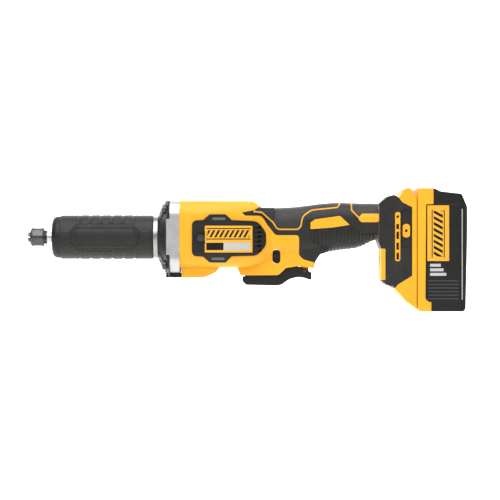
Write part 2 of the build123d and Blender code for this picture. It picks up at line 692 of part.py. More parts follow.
# ---- Outlines on the handle and foot, as X from the handle's or foot's front, Z and corner radius ----
def shifted(x, points):
    return [(x + point[0], *point[1:]) for point in points]


FRAME_OUTLINE = shifted(HANDLE_FRONT, [
    (-17.4, 23.2), (-7.2, 25.2, 10), (1.7, 29.4), (3.0, 60), (HANDLE_LENGTH - OVERMOULD_GAP, 60),
    (HANDLE_LENGTH - OVERMOULD_GAP, -45),
    (56.0, -45), (52.0, -24.4), (41.5, -21.5, 4), (37.5, -17.2, 3), (37.5, 1.7, 3), (15.0, 1.7, 4), (7.6, 10.8, 14),
    (1.5, 20.2, 6), (-14.0, 20.2),
])
FRONT_PAD_OUTLINE = shifted(HANDLE_FRONT, [
    (-4.8, 24.6), (2.0, 24.2, 4), (13.1, 14.3, 9), (17.0, 7.9, 4), (36.2, 7.9, 3), (38.6, 10.5, 2), (40.4, 20.2, 9),
    (49.0, 26.4, 10), (74.2, 29.0, 2), (75.8, 31.5), (75.8, 60), (-4.8, 60),
])
REAR_PAD_OUTLINE = shifted(HANDLE_FRONT, [
    (88.6, 60), (88.6, 25.8, 2), (95.0, 19.2), (98.0, 22.4), (HANDLE_LENGTH, 22.4), (HANDLE_LENGTH, 60),
])
RIBBED_OUTLINE = shifted(HANDLE_FRONT, [
    (48.2, 8.3, 1), (47.8, -0.6, 3), (51.2, -5.4, 3), (56.6, -7.2, 3), (62.8, -13.6), (66.0, -45),
    (HANDLE_LENGTH - 0.5, -45), (HANDLE_LENGTH - 0.5, 3.8), (96.7, 3.8, 6), (84.7, 12.4, 1), (69.6, 11.0, 30),
])
FRONT_PATCH_OUTLINE = shifted(HANDLE_FRONT, [
    (48.4, 7.5), (48.4, 13.9, 2), (52.6, 16.8, 4), (76.8, 20.2, 2), (86.0, 11.6), (69.6, 9.0),
])
REAR_PATCH_OUTLINE = shifted(HANDLE_FRONT, [
    (94.6, 18.3), (98.0, 21.9), (HANDLE_LENGTH + 1.2, 21.9), (HANDLE_LENGTH + 1.2, 16.2, 1), (112.4, 14.1),
    (97.2, 14.1), (94.6, 16.6),
])
FOOT_COVER_OUTLINE = shifted(FOOT_FRONT, [
    (-0.05, 60), (15.0, 60), (16.6, 39.4, 3), (21.0, 33.0, 5), (30.5, 28.2, 1), (30.5, -37.0, 1), (17.2, -45.2),
    (12.0, -52.0), (-4.0, -52.0), (-4.0, -41.2), (5.8, -41.2, 1), (5.8, -11.2, 1), (-4.0, -11.2), (-4.0, -7.0),
    (-0.05, -7.0),
])
TAG_RECESS_OUTLINE = shifted(FOOT_FRONT, [(20.4, -11.0, 1), (20.4, 26.7, 4.2), (29.9, 26.7, 4.2), (29.9, -11.0, 1)])
TAG_OUTLINE = shifted(FOOT_FRONT, [(21.5, -0.6, 3), (21.5, 12.3, 3), (28.5, 12.3, 3), (28.5, -0.6, 3)])
TAG_HOLE = (FOOT_FRONT + 24.9, 5.8)
FOOT_VENT_OUTLINE = shifted(FOOT_FRONT, [(14.5, -23.2, 2), (14.5, 23.6, 2), (19.3, 23.6, 2), (19.3, -23.2, 2)])
FOOT_VENT_SLOTS = [(18.1, 20.3), (7.4, 12.2), (-2.1, 4.8), (-12.3, -5.5), (-21.6, -15.2)]
SIDE_COVER_OUTLINE = shifted(PLATE_REAR, [
    (12.0, 15.4, 4.5), (22.6, 15.8), (28.8, 21.3, 2), (43.9, 21.3, 2), (49.8, 15.7), (74.0, 14.8, 9), (82.5, 4.6, 10),
    (82.5, -8.0, 10), (74.0, -17.8, 9), (49.8, -18.4), (43.9, -24.4, 2), (28.8, -24.4, 2), (22.4, -18.6),
    (12.0, -18.2, 4.5),
])
SIDE_COVER_SCREW_PLACE = (PLATE_REAR + 20.2, -1.1)
VENT_FRONT = HANDLE_FRONT - 5.2
SCREEN_OUTLINE = shifted(VENT_FRONT, [(-2.4, 12.6), (9.0, 12.6), (9.0, -15.6), (-2.4, -15.6)])
FOOT_SCREEN_OUTLINE = shifted(FOOT_FRONT, [(14.9, -22.8), (14.9, 23.2), (18.9, 23.2), (18.9, -22.8)])
SCREEN_THICKNESS = 0.9


# ---- Battery bay in the foot ----
TOWER_FRONT = BATTERY_FRONT - TOWER_DEPTH
BAY_FRONT = TOWER_FRONT - 0.5
BAY_HALF_WIDTH = TOWER_HALF_WIDTH + 0.5
BAY_BOTTOM = TOWER_BOTTOM - 1.5
TERMINAL_BLOCK_HEIGHT = 7.0
RAIL_X = (BATTERY_FRONT - RAIL_OFFSET - RAIL_HEIGHT, BATTERY_FRONT - RAIL_OFFSET)
BLADE_X = (TOWER_FRONT + 4.0, TOWER_FRONT + 9.0)


def battery_bay():
    """The open-topped bay that the battery's tower slides into."""
    return block((BAY_FRONT, FOOT_REAR + 5), (-BAY_HALF_WIDTH, BAY_HALF_WIDTH), (BAY_BOTTOM, 80))


def terminal_space():
    y = TOWER_HALF_WIDTH - 2.5
    return block((BAY_FRONT - 3, FOOT_REAR - 1.5), (-y, y), (BAY_BOTTOM - TERMINAL_BLOCK_HEIGHT, BAY_BOTTOM))


def bay_tray():
    """The wall round the battery bay, inside the foot."""
    wall = HOUSING_WALL - 0.3
    y = BAY_HALF_WIDTH + wall
    z = (BAY_BOTTOM - TERMINAL_BLOCK_HEIGHT - wall, 42)
    return block((BAY_FRONT - wall, FOOT_REAR), (-y, y), z)


def bay_rails():
    """A ridge on each side of the bay that holds the tower."""
    x = (RAIL_X[0] + SLIDE_GAP, RAIL_X[1] - SLIDE_GAP)
    rails = []
    for side in (-1, 1):
        y = sorted((side * (TOWER_HALF_WIDTH - RAIL_DEPTH + SLIDE_GAP), side * (BAY_HALF_WIDTH + 0.5)))
        rails.append(block(x, y, (BAY_BOTTOM, TOWER_TOP - 6)))
    return Compound(children=rails)


# ---- Housing ----
def housing_screw_places():
    """Where screws join the halves: round the motor, along the grip, and in the foot."""
    return [
        (STATOR_X + 6, 30.3), (STATOR_X + 32, 30.3), (STATOR_X + 12, MOTOR_BAY_BOTTOM - 1.1),
        (HANDLE_FRONT + 38, 10.0), (HANDLE_FRONT + 94, 12.6), (FOOT_FRONT + 12, 33.3),
        (FOOT_REAR - 9, -55.0),
    ]


def dial_window():
    y = DIAL_WIDTH / 2 + SLIDE_GAP + 0.1
    reach = DIAL_RADIUS + 0.6
    x = (FOOT_FRONT - 3, DIAL[0])
    return block(x, (-y, y), (DIAL[1] - reach, DIAL[1] + reach))


def bezel_space():
    return block((FOOT_FRONT, FOOT_FRONT + 5.6), (-DIAL_BEZEL_HALF_WIDTH, DIAL_BEZEL_HALF_WIDTH), (-40.9, -11.4))


def lock_slot(gap):
    """The lock bolt's pill-shaped section, right across the tool."""
    x, z = LOCK
    width = LOCK_WIDTH / 2 + gap
    height = LOCK_HEIGHT / 2 + gap
    return round_block((x - width, x + width), (-30, 30), (z - height, z + height), width - 0.01)


def paddle_bay():
    y = HOOD_HALF_WIDTH - HOUSING_WALL
    return block((HANDLE_FRONT - 18.2, HANDLE_FRONT + 50.2), (-y, y), (-60, -13))


def vent_cuts():
    """The slots through the side covers and the walls behind them."""
    cuts = []
    for index in range(SIDE_COVER_VENTS):
        z = 9.3 - index * VENT_PITCH
        x = (VENT_FRONT, VENT_FRONT + VENT_LENGTH)
        cuts.append(block(x, (-60, 60), (z - VENT_HEIGHT / 2, z + VENT_HEIGHT / 2)))
    return Compound(children=cuts)


def foot_vent_cuts():
    x = (FOOT_FRONT + 15.8, FOOT_FRONT + 18.1)
    return Compound(children=[block(x, (-60, 60), z) for z in FOOT_VENT_SLOTS])


def air_outlets():
    """Slots through the skirt's floor, under the fan."""
    x = PLATE_REAR + 7
    low = MOTOR_BAY_BOTTOM - SKIRT_DROP - 1
    return Compound(children=[block((x, x + 9), (y - 1.1, y + 1.1), (low, low + 5)) for y in (-14, -7, 0, 7, 14)])


def screw_holes(side):
    """Deep counterbores on the right, blind cores on the left."""
    holes = []
    for x, z in housing_screw_places():
        if side < 0:
            holes.append(cross_rod(x, z, (-SCREW_TIP_DEPTH, 1), SCREW_RADIUS))
        else:
            holes.append(cross_rod(x, z, (-1, 60), SCREW_RADIUS + 0.1))
            holes.append(cross_rod(x, z, (SCREW_TIP_DEPTH, 60), SCREW_HEAD[0] + 0.3))
    return Compound(children=holes)


def pivot_lug(side):
    """Half of the lug that carries the paddle's pin."""
    x, z = PIVOT
    y = sorted((0, side * PIVOT_HALF_WIDTH))
    lug = block((x - 4, x + 4), y, (z, -17)) + cross_rod(x, z, y, 4.0)
    wall_y = HOOD_HALF_WIDTH - HOUSING_WALL + 0.3
    shelf = block((SPRING_X - 5, x + 4), sorted((0, side * wall_y)), (SPRING_TOP, SPRING_TOP + 2))
    return lug + shelf - cross_rod(x, z, (-20, 20), PIVOT_RADIUS)


def side_cover_recess(side):
    """The round recess that the side cover's screw sits in."""
    face = CASE_HALF_WIDTH + SIDE_COVER_PROUD
    outer = sorted((side * (face - SIDE_COVER_SCREW[1]), side * 60))
    return cross_rod(*SIDE_COVER_SCREW_PLACE, outer, SIDE_COVER_RECESS_RADIUS)


def side_cover(side):
    """Flush-mounted cover over the motor's flank, with a row of vents and one screw."""
    x, z = SIDE_COVER_SCREW_PLACE
    body = (motor_form(-SIDE_COVER_PROUD) - motor_form(SKIN)) & side_prism(SIDE_COVER_OUTLINE, 60)
    body = side_only(body, side) - side_cover_recess(side)
    return body - cross_rod(x, z, sorted((0, side * 60)), SCREW_RADIUS) - vent_cuts()


def side_cover_screws():
    head, height = SIDE_COVER_SCREW
    x, z = SIDE_COVER_SCREW_PLACE
    face = CASE_HALF_WIDTH + SIDE_COVER_PROUD - SIDE_COVER_SCREW[1]
    screws = []
    for side in (-1, 1):
        screw = cross_rod(x, z, sorted((side * face, side * (face + height - 0.3))), head)
        screw += cross_rod(x, z, sorted((side * (face - 4.3), side * face)), SCREW_RADIUS)
        for turn in (0, 90):
            slot = Rot(0, turn, 0) * Box(4.2, 1.6, 0.9)
            screw -= Pos(x, side * (face + height - 0.3), z) * slot
        screws.append(screw)
    return Compound(children=screws)


def overmoulds(skin):
    """The pieces let into the housing's surface, each for both sides: name to shape."""
    frame_area = side_prism(FRAME_OUTLINE, 60)
    front_pad = side_prism(FRONT_PAD_OUTLINE, 60) & frame_area
    rear_pad = side_prism(REAR_PAD_OUTLINE, 60) & frame_area
    ribbed = side_prism(RIBBED_OUTLINE, 60)
    islands = side_prism(FRONT_PAD_OUTLINE, 60, -STRIPE_WIDTH) + side_prism(REAR_PAD_OUTLINE, 60, -STRIPE_WIDTH)
    islands += ribbed + side_prism(FRONT_PATCH_OUTLINE, 60) + side_prism(REAR_PATCH_OUTLINE, 60)
    vents = side_prism(FOOT_VENT_OUTLINE, 60)
    foot = (skin & side_prism(FOOT_COVER_OUTLINE, 60)) - vents - bezel_space() - dial_window()
    return {
        "handle_frame": (skin & frame_area) - islands,
        "grip_pads": (skin & front_pad) + ((skin & rear_pad) - side_prism(REAR_PATCH_OUTLINE, 60)),
        "ribbed_grip": (skin & ribbed) - side_prism(FRONT_PATCH_OUTLINE, 60),
        "foot_cover": foot - tag_recess() - battery_bay(),
    }


def tag_recess():
    """The sunk panel that each tag cover sits in."""
    panel = (foot_form(0) - foot_form(SKIN - 0.4)) & side_prism(TAG_RECESS_OUTLINE, 60)
    return panel - block((0, 500), (-20, 20), (-90, 90))


def foot_vents(skin):
    """A framed column of air slots in each flank of the foot."""
    return (skin & side_prism(FOOT_VENT_OUTLINE, 60)) - foot_vent_cuts() - block((0, 500), (-20, 20), (-90, 90))


def tag_covers():
    """Small cover with one hole in each flank of the foot."""
    body = (foot_form(0) - foot_form(SKIN - 0.4)) & side_prism(TAG_OUTLINE, 60)
    body -= block((0, 500), (-20, 20), (-90, 90))
    return body - cross_rod(*TAG_HOLE, (-60, 60), 1.4)


def housing_shell(outer, let_in):
    """Both halves as one shell, before it is split: walls, screw bosses and the battery bay."""
    bosses = Compound(children=[cross_rod(x, z, (-60, 60), BOSS_RADIUS) for x, z in housing_screw_places()])
    shell = hollowed(outer, HOUSING_WALL) + (bay_tray() & outer) + (bosses & outer)
    shell -= block((0, PLATE_REAR + HOUSING_WALL + 0.2), (-28, 28), (-26, 29))
    shell -= paddle_bay() + lock_slot(SLIDE_GAP) + terminal_space()
    shell -= battery_bay() - bay_rails()
    shell -= vent_cuts() + foot_vent_cuts() + air_outlets() + dial_window() + bezel_space()
    for piece in let_in:
        shell -= piece
    shell -= side_cover_recess(-1) + side_cover_recess(1)
    return shell - cross_rod(*SIDE_COVER_SCREW_PLACE, (-60, 60), SCREW_RADIUS)


def vent_screens():
    """Thin screens inside the flanks, behind the vents of the motor and of the foot."""
    bosses = Compound(children=[cross_rod(x, z, (-60, 60), BOSS_RADIUS + 0.1) for x, z in housing_screw_places()])
    screens = []
    for form, area in ((motor_form, SCREEN_OUTLINE), (foot_form, FOOT_SCREEN_OUTLINE)):
        skin = form(HOUSING_WALL) - form(HOUSING_WALL + SCREEN_THICKNESS)
        both = (skin & side_prism(area, 60)) - block((0, 500), (-20, 20), (-90, 90)) - bosses
        screens += both.solids()
    return Compound(children=screens)


def housing_half(shell, side):
    half = side_only(shell, side) + pivot_lug(side)
    return half - screw_holes(side)


def housing_screws():
    """Long thin screws from the right half into the left half's bosses."""
    head, height = SCREW_HEAD
    screws = []
    for x, z in housing_screw_places():
        shank = cross_rod(x, z, (-SCREW_TIP_DEPTH + 0.5, SCREW_TIP_DEPTH), SCREW_RADIUS)
        screw = shank + cross_rod(x, z, (SCREW_TIP_DEPTH, SCREW_TIP_DEPTH + height), head)
        socket = Plane.XZ * RegularPolygon(1.4, 6)
        screws.append(screw - Pos(x, SCREW_TIP_DEPTH + height + 0.1, z) * extrude(socket, 1.6))
    return Compound(children=screws)


# ---- Paddle, lock and switch ----
def paddle_outline():
    x = HANDLE_FRONT - 16.9
    end = x + PADDLE_LENGTH
    return [
        (x, -38.0), (x, -42.5, 3), (x + 3.6, -46.0, 3), (x + 36.5, -46.7, 12), (x + 45.5, -40.4, 10), (x + 55, -38.0, 16),
        (end - 2, -40.9, 2), (end, -41.0), (end, -34), (x + 52, -27.4, 3), (x + 42, -27.4, 6), (x + 33, -33.4, 4),
        (x + 2.2, -33.4), (x + 2.2, -38.0),
    ]


def paddle():
    """Moulded channel: a rounded outside, open at the top, with a stop rib for the plunger."""
    body = side_prism(paddle_outline(), PADDLE_HALF_WIDTH)
    inner_y = PADDLE_HALF_WIDTH - PADDLE_WALL
    inside = side_prism(paddle_outline(), inner_y)
    hollow = (Pos(0, 0, PADDLE_WALL) * inside) + (Pos(0, 0, PADDLE_WALL + 6) * inside)
    x = HANDLE_FRONT - 16.9
    hollow &= block((x + PADDLE_WALL, x + PADDLE_LENGTH - PADDLE_WALL), (-inner_y, inner_y), (-60, 0))
    body -= hollow
    rib = block((PLUNGER_X - 3, PLUNGER_X + 3), (-inner_y, inner_y), (-45, -31.0))
    body += rib
    seat = Pos(SPRING_X, 0, SPRING_FOOT) * Cylinder(5.4, 8, align=(Align.CENTER, Align.CENTER, Align.MAX))
    peg = Pos(SPRING_X, 0, SPRING_FOOT) * Cylinder(2.6, 3, align=(Align.CENTER, Align.CENTER, Align.MIN))
    body += (seat & side_prism(paddle_outline(), inner_y)) + peg
    x, z = PIVOT
    return body - cross_rod(x, z, (-30, 30), PIVOT_RADIUS + 0.05)


def paddle_pin():
    x, z = PIVOT
    y = PADDLE_HALF_WIDTH - 0.4
    return cross_rod(x, z, (-y, y), PIVOT_RADIUS)


def paddle_spring():
    height = SPRING_TOP - SPRING_FOOT
    return Pos(SPRING_X, 0, SPRING_FOOT) * coil(PADDLE_SPRING_RADIUS, PADDLE_SPRING_WIRE, height, 5)


def lock_bolt():
    """Pill-section cross bolt, recessed on the left and flush on the right, notched in its middle."""
    y = (-HOOD_HALF_WIDTH + LOCK_RECESS, HOOD_HALF_WIDTH + LOCK_TRAVEL + 0.4)
    x, z = LOCK
    body = lock_slot(0) & block((x - 10, x + 10), y, (z - 20, z + 20))
    for side in (-1, 1):
        body -= block((x - 1.4, x + 1.4), (y[0] - 1, y[0] + 0.8), sorted((z + side * 1.6, z + side * 4.6)))
    return body - block((x - 10, x + 10), (-6, 6), (z - 20, z - 1.5))


def switch_module():
    """Sealed switch body over the paddle, with a bore for its plunger."""
    length, width, height = SWITCH_SIZE
    x = PLUNGER_X - 7
    low = LOCK[1] + LOCK_HEIGHT / 2 + 2.5
    body = round_block((x, x + length), (-width / 2, width / 2), (low, low + height), 1.5)
    neck = Pos(PLUNGER_X, 0, low - 3) * Cylinder(PLUNGER_RADIUS + 1.8, 4, align=(Align.CENTER, Align.CENTER, Align.MIN))
    bore = Pos(PLUNGER_X, 0, low - 4) * Cylinder(PLUNGER_RADIUS + SLIDE_GAP, 16, align=(Align.CENTER, Align.CENTER, Align.MIN))
    return body + neck - bore


def switch_plunger():
    low = LOCK[1] + LOCK_HEIGHT / 2 + 2.5
    bottom = -31.0 + 0.5
    stem = Pos(PLUNGER_X, 0, bottom) * Cylinder(PLUNGER_RADIUS, low + 4 - bottom, align=(Align.CENTER, Align.CENTER, Align.MIN))
    return fillet(stem.edges().group_by(Axis.Z)[0], PLUNGER_RADIUS - 0.3)


# ---- Electronics ----
MODULE_X = (FOOT_FRONT + 9.0, FOOT_FRONT + 18.2)
MODULE_Z = (-9.0, 27.0)
DIAL_CHEEK_Y = (DIAL_WIDTH / 2 + 1.4, DIAL_WIDTH / 2 + 3.2)


def control_module():
    """Potted controller with cooling fins, and two cheeks that carry the speed dial."""
    body = block(MODULE_X, (-21, 21), MODULE_Z)
    for index in range(6):
        z = MODULE_Z[0] + 4 + index * 5.4
        body -= block((MODULE_X[0] - 1, MODULE_X[0] + 2.5), (-30, 30), (z, z + 3.4))
    x, z = DIAL
    for side in (-1, 1):
        cheek = block((x - 3, x + 4), sorted(side * y for y in DIAL_CHEEK_Y), (z - 3, MODULE_Z[0] + 0.5))
        body += cheek
    return body - cross_rod(x, z, (-20, 20), DIAL_SHAFT_RADIUS + SLIDE_GAP)


def speed_dial():
    """Notched thumbwheel on a cross shaft."""
    x, z = DIAL
    body = cross_rod(x, z, (-DIAL_WIDTH / 2, DIAL_WIDTH / 2), DIAL_RADIUS)
    for index in range(DIAL_NOTCHES):
        notch = Pos(DIAL_RADIUS + 0.1, 0, 0) * Cylinder(0.55, DIAL_WIDTH + 2, rotation=(90, 0, 0))
        body -= Pos(x, 0, z) * (Rot(0, index * 360 / DIAL_NOTCHES, 0) * notch)
    end = DIAL_CHEEK_Y[1]
    return body + cross_rod(x, z, (-end, end), DIAL_SHAFT_RADIUS)


def dial_bezel():
    """Frame round the thumbwheel's window, flush with the foot's front."""
    return (foot_form(0) & bezel_space()) - dial_window()


def motor_leads():
    """Three phase leads from the stator, over the switch, to the controller."""
    start = CARRIER_X - 1.0
    leads = []
    for y in (-6.0, 0.0, 6.0):
        points = [
            (start, y, 19.0), (HANDLE_FRONT + 10, y, 20.5), (HANDLE_FRONT + 62, y, 24.0),
            (HANDLE_FRONT + 98, y, 21.0), (MODULE_X[0] - 0.3, y, 17.0),
        ]
        leads.append(wire_run(points, 1.3, [60, 60, 60]))
    return Compound(children=leads)


def supply_leads():
    """Two leads from the battery terminals up to the controller, and two from the switch."""
    leads = []
    z = BAY_BOTTOM - TERMINAL_BLOCK_HEIGHT / 2
    x = MODULE_X[0] + 4
    for y in (-14.0, 14.0):
        leads.append(wire_run([(BAY_FRONT - 3, y, z), (x, y, z), (x, y, MODULE_Z[0] - 0.1)], 1.5, [6]))
    switch_end = PLUNGER_X - 7 + SWITCH_SIZE[0]
    for y in (-5.0, 5.0):
        points = [(switch_end, y, -2.0), (HANDLE_FRONT + 72, y, -2.0), (MODULE_X[0] - 0.3, y, 4.0)]
        leads.append(wire_run(points, 1.1, [60]))
    return Compound(children=leads)


def terminal_block():
    """Insulating block at the foot of the battery bay."""
    y = TOWER_HALF_WIDTH - 2.5
    body = block((BAY_FRONT - 3, FOOT_REAR - 1.5), (-y, y), (BAY_BOTTOM - TERMINAL_BLOCK_HEIGHT, BAY_BOTTOM))
    return body - terminal_blades()


def terminal_blades():
    blades = []
    for index in range(BLADES):
        y = (index - (BLADES - 1) / 2) * BLADE_PITCH
        z = (BAY_BOTTOM - TERMINAL_BLOCK_HEIGHT + 2, BAY_BOTTOM + BLADE_LENGTH)
        blades.append(block(BLADE_X, (y - BLADE_THICKNESS / 2, y + BLADE_THICKNESS / 2), z))
    return Compound(children=blades)


# ---- Battery ----
BATTERY_SPLIT = [
    (BATTERY_FRONT - 30, 70), (BATTERY_FRONT + 15.3, 70), (BATTERY_FRONT + 15.3, 31.0),
    (BATTERY_FRONT + 8.3, 31.0, 1),
    (BATTERY_FRONT + 7.6, -62.0, 5), (BATTERY_FRONT + 13.2, -62.0), (BATTERY_FRONT + 13.2, -90),
    (BATTERY_FRONT - 30, -90),
]
PANEL_DEPTH = 0.7            # the label panel is sunk by this much in each flank
PANEL_OUTLINE = shifted(BATTERY_FRONT, [(8.3, 30.8, 1.5), (40.6, 30.8, 3), (40.6, -60.9, 4), (7.9, -60.9, 4)])
CELL_X = [BATTERY_FRONT + 15.5 + layer * CELL_PITCH for layer in range(CELL_LAYERS)]
CELL_Z = [-13.0 + (index - (CELLS_ACROSS - 1) / 2) * CELL_PITCH for index in range(CELLS_ACROSS)]
RELEASE_Z = (BATTERY_TOP - 5.0, BATTERY_TOP + 0.8)
RELEASE_X = (BATTERY_FRONT + 1.2, BATTERY_FRONT + 11.0)
RELEASE_HALF_WIDTH = 12.0
GAUGE_X = BATTERY_REAR - 16.0


def battery_form(inset):
    """The whole pack without its tower: rounded corners and a leaning outer face."""
    front, rear = BATTERY_FRONT, BATTERY_REAR
    points = [
        (front, BATTERY_TOP, 1), (front + 15.5, BATTERY_TOP, 2), (front + 22.3, 43.2, 3), (front + 42.0, 41.0, 3),
        (rear, 27.0, 14), (rear - BATTERY_DRAFT, BATTERY_BOTTOM, 4), (front + 2.6, BATTERY_BOTTOM, 1),
        (front, -68.4, 1),
    ]
    y = BATTERY_HALF_WIDTH
    plan = [(front, -y, 2), (rear, -y, 9), (rear, y, 9), (front, y, 2)]
    return side_prism(points, 60, inset) & top_prism(plan, -100, 80, inset)


def label_panels():
    """The shallow sinks in the pack's flanks for its labels and ribs."""
    y = BATTERY_HALF_WIDTH - PANEL_DEPTH
    return side_prism(PANEL_OUTLINE, 60) - block((300, 500), (-y, y), (-90, 90))


def tower(inset):
    """The block that slides into the tool, grooved for its rails and slotted for its blades."""
    y = TOWER_HALF_WIDTH - inset
    x = (TOWER_FRONT + inset, BATTERY_FRONT + 4)
    body = block(x, (-y, y), (TOWER_BOTTOM + inset, TOWER_TOP - inset))
    for side in (-1, 1):
        groove = sorted((side * (TOWER_HALF_WIDTH - RAIL_DEPTH - inset), side * 40))
        body -= block((RAIL_X[0] - inset, RAIL_X[1] + inset), groove, (TOWER_BOTTOM - 1, TOWER_TOP - 6 + 0.5 + inset))
    return body


def blade_slots():
    slots = []
    for index in range(BLADES):
        y = (index - (BLADES - 1) / 2) * BLADE_PITCH
        half = BLADE_THICKNESS / 2 + SLIDE_GAP
        x = (BLADE_X[0] - SLIDE_GAP, BLADE_X[1] + SLIDE_GAP)
        slots.append(block(x, (y - half, y + half), (TOWER_BOTTOM - 1, BAY_BOTTOM + BLADE_LENGTH + 1)))
    return Compound(children=slots)


def release_space():
    """Room for the release button and its travel in the pack's top."""
    y = RELEASE_HALF_WIDTH + SLIDE_GAP
    x = (RELEASE_X[0] - SLIDE_GAP, RELEASE_X[1] + RELEASE_TRAVEL + SLIDE_GAP)
    return block(x, (-y, y), (RELEASE_Z[0] - SLIDE_GAP, 80))


def battery_base():
    """Yellow half of the pack's case, with the tower and the release button's pocket."""
    split = side_prism(BATTERY_SPLIT, 80)
    pocket = release_space()
    pocket_walls = block(
        (BATTERY_FRONT, RELEASE_X[1] + 8), (-RELEASE_HALF_WIDTH - 3, RELEASE_HALF_WIDTH + 3),
        (RELEASE_Z[0] - 3, BATTERY_TOP),
    )
    shell = battery_form(0) - (battery_form(BATTERY_WALL) - pocket_walls)
    y = TOWER_HALF_WIDTH - RAIL_DEPTH - 2
    hollow = block((TOWER_FRONT + 2.2, BATTERY_FRONT + 5), (-y, y), (BAY_BOTTOM + BLADE_LENGTH + 1, TOWER_TOP - 4))
    return (shell & split) + tower(0) - hollow - pocket - blade_slots()


def battery_cover():
    """Dark outer half of the pack's case, with the fuel gauge's window."""
    shell = battery_form(0) - battery_form(BATTERY_WALL)
    body = shell - side_prism(BATTERY_SPLIT, 80) - label_panels()
    x = (GAUGE_X - 3 - SLIDE_GAP, GAUGE_X + 3 + SLIDE_GAP)
    return body - block(x, (-6 - SLIDE_GAP, 6 + SLIDE_GAP), (BATTERY_BOTTOM - 5, BATTERY_BOTTOM + 5)) - release_space()


def battery_cells():
    cells = []
    half = CELL_LENGTH / 2
    for x in CELL_X:
        for z in CELL_Z:
            cell = cross_rod(x, z, (-half, half - 1), CELL_RADIUS - 0.1)
            cells.append(cell + cross_rod(x, z, (half - 1, half), 3.2))
    return Compound(children=cells)


def cell_holders():
    """A frame round each end of the cells."""
    x = (CELL_X[0] - CELL_PITCH / 2 - 0.3, CELL_X[-1] + CELL_PITCH / 2)
    z = (CELL_Z[0] - CELL_PITCH / 2 - 1.0, CELL_Z[-1] + CELL_PITCH / 2 + 1.0)
    inner = battery_form(BATTERY_WALL + 0.3)
    frames = []
    for side in (-1, 1):
        y = sorted((side * (CELL_LENGTH / 2 - 9), side * (CELL_LENGTH / 2 - 2)))
        frame = round_block(x, y, z, 4) & inner
        for cell_x in CELL_X:
            for cell_z in CELL_Z:
                frame -= cross_rod(cell_x, cell_z, (y[0] - 1, y[1] + 1), CELL_RADIUS)
        frames.append(frame)
    return Compound(children=frames)


def battery_board():
    """Circuit board between the tower and the cells, with a spring contact for each blade."""
    x = BATTERY_FRONT + 4.4
    board = block((x, x + 1.2), (-27, 27), (BAY_BOTTOM + 4, TOWER_TOP - 8))
    clips = []
    for index in range(BLADES):
        y = (index - (BLADES - 1) / 2) * BLADE_PITCH
        z = BAY_BOTTOM + BLADE_LENGTH + 2
        clips.append(block((BLADE_X[0], x), (y - 1.6, y + 1.6), (z, z + 6)))
    return Compound(children=[board] + clips)


def release_button():
    """Sliding button whose tooth catches the tool."""
    y = RELEASE_HALF_WIDTH
    body = round_block(RELEASE_X, (-y, y), RELEASE_Z, 1.5, "z")
    for index in range(3):
        x = RELEASE_X[0] + 3 + index * 2.4
        body -= block((x, x + 1.0), (-y + 2, y - 2), (RELEASE_Z[1] - 0.5, RELEASE_Z[1] + 1))
    return body


def release_spring():
    radius = 1.9
    gap = RELEASE_TRAVEL + SLIDE_GAP
    spring = coil(radius, 0.5, gap, 3)
    z = (RELEASE_Z[0] + BATTERY_TOP) / 2
    return Pos(RELEASE_X[1], 0, z) * (Rot(0, 90, 0) * spring)


def gauge_button():
    """Small push button in the pack's lower end, sunk by a millimetre."""
    low = BATTERY_BOTTOM + 0.3
    body = round_block((GAUGE_X - 3, GAUGE_X + 3), (-6, 6), (low, low + 4), 1.2, "z")
    return body


def assembly():
    """Every sub-part by name."""
    parts = {
        "collet": collet(), "collet_nut": collet_nut(), "spindle": spindle(), "spindle_dust_ring": spindle_dust_ring(),
        "nose_bezel": nose_bezel(), "nose_seal": nose_seal(), "bearing_retainer": bearing_retainer(),
        "nose_barrel": nose_barrel(), "rubber_sleeve": rubber_sleeve(), "clamp_ring": clamp_ring(),
        "bearing_rings": bearings(bearing_ring), "bearing_races": bearings(bearing_race),
        "shaft_coupling": shaft_coupling(), "front_cover": front_cover(), "front_cover_screws": front_cover_screws(),
        "motor_plate": motor_plate(), "stator_core": stator_core(), "stator_coils": stator_coils(),
        "rotor_core": rotor_core(), "rotor_shaft": rotor_shaft(), "cooling_fan": cooling_fan(),
        "bearing_carrier": bearing_carrier(), "housing_screws": housing_screws(),
        "side_cover_screws": side_cover_screws(), "paddle": paddle(), "paddle_pin": paddle_pin(),
        "paddle_spring": paddle_spring(), "lock_bolt": lock_bolt(), "switch_module": switch_module(),
        "switch_plunger": switch_plunger(), "control_module": control_module(), "speed_dial": speed_dial(),
        "dial_bezel": dial_bezel(), "motor_leads": motor_leads(), "supply_leads": supply_leads(),
        "terminal_block": terminal_block(), "terminal_blades": terminal_blades(), "battery_base": battery_base(),
        "battery_cover": battery_cover(), "battery_cells": battery_cells(), "cell_holders": cell_holders(),
        "battery_board": battery_board(), "release_button": release_button(), "release_spring": release_spring(),
        "gauge_button": gauge_button(), "vent_screens": vent_screens(),
    }
    outer = outer_form()
    skin = hollowed(outer, SKIN)
    let_in = overmoulds(skin)
    vents = foot_vents(skin)
    tags = tag_covers()
    covers = {-1: side_cover(-1), 1: side_cover(1)}
    parts["foot_vents"] = vents
    parts["tag_covers"] = tags
    removed = list(let_in.values()) + [vents, tag_recess(), parts["dial_bezel"], covers[-1], covers[1]]
    shell = housing_shell(outer, removed)
    for side, word in ((-1, "left"), (1, "right")):
        parts[f"housing_{word}"] = housing_half(shell, side)
        parts[f"side_cover_{word}"] = covers[side]
        for name, shape in let_in.items():
            piece = side_only(shape, side)
            parts[f"{name}_{word}"] = piece if side < 0 else piece - screw_holes(side)
    return parts


os.makedirs("parts", exist_ok=True)
for part_name, part_shape in assembly().items():
    save(part_name, part_shape)
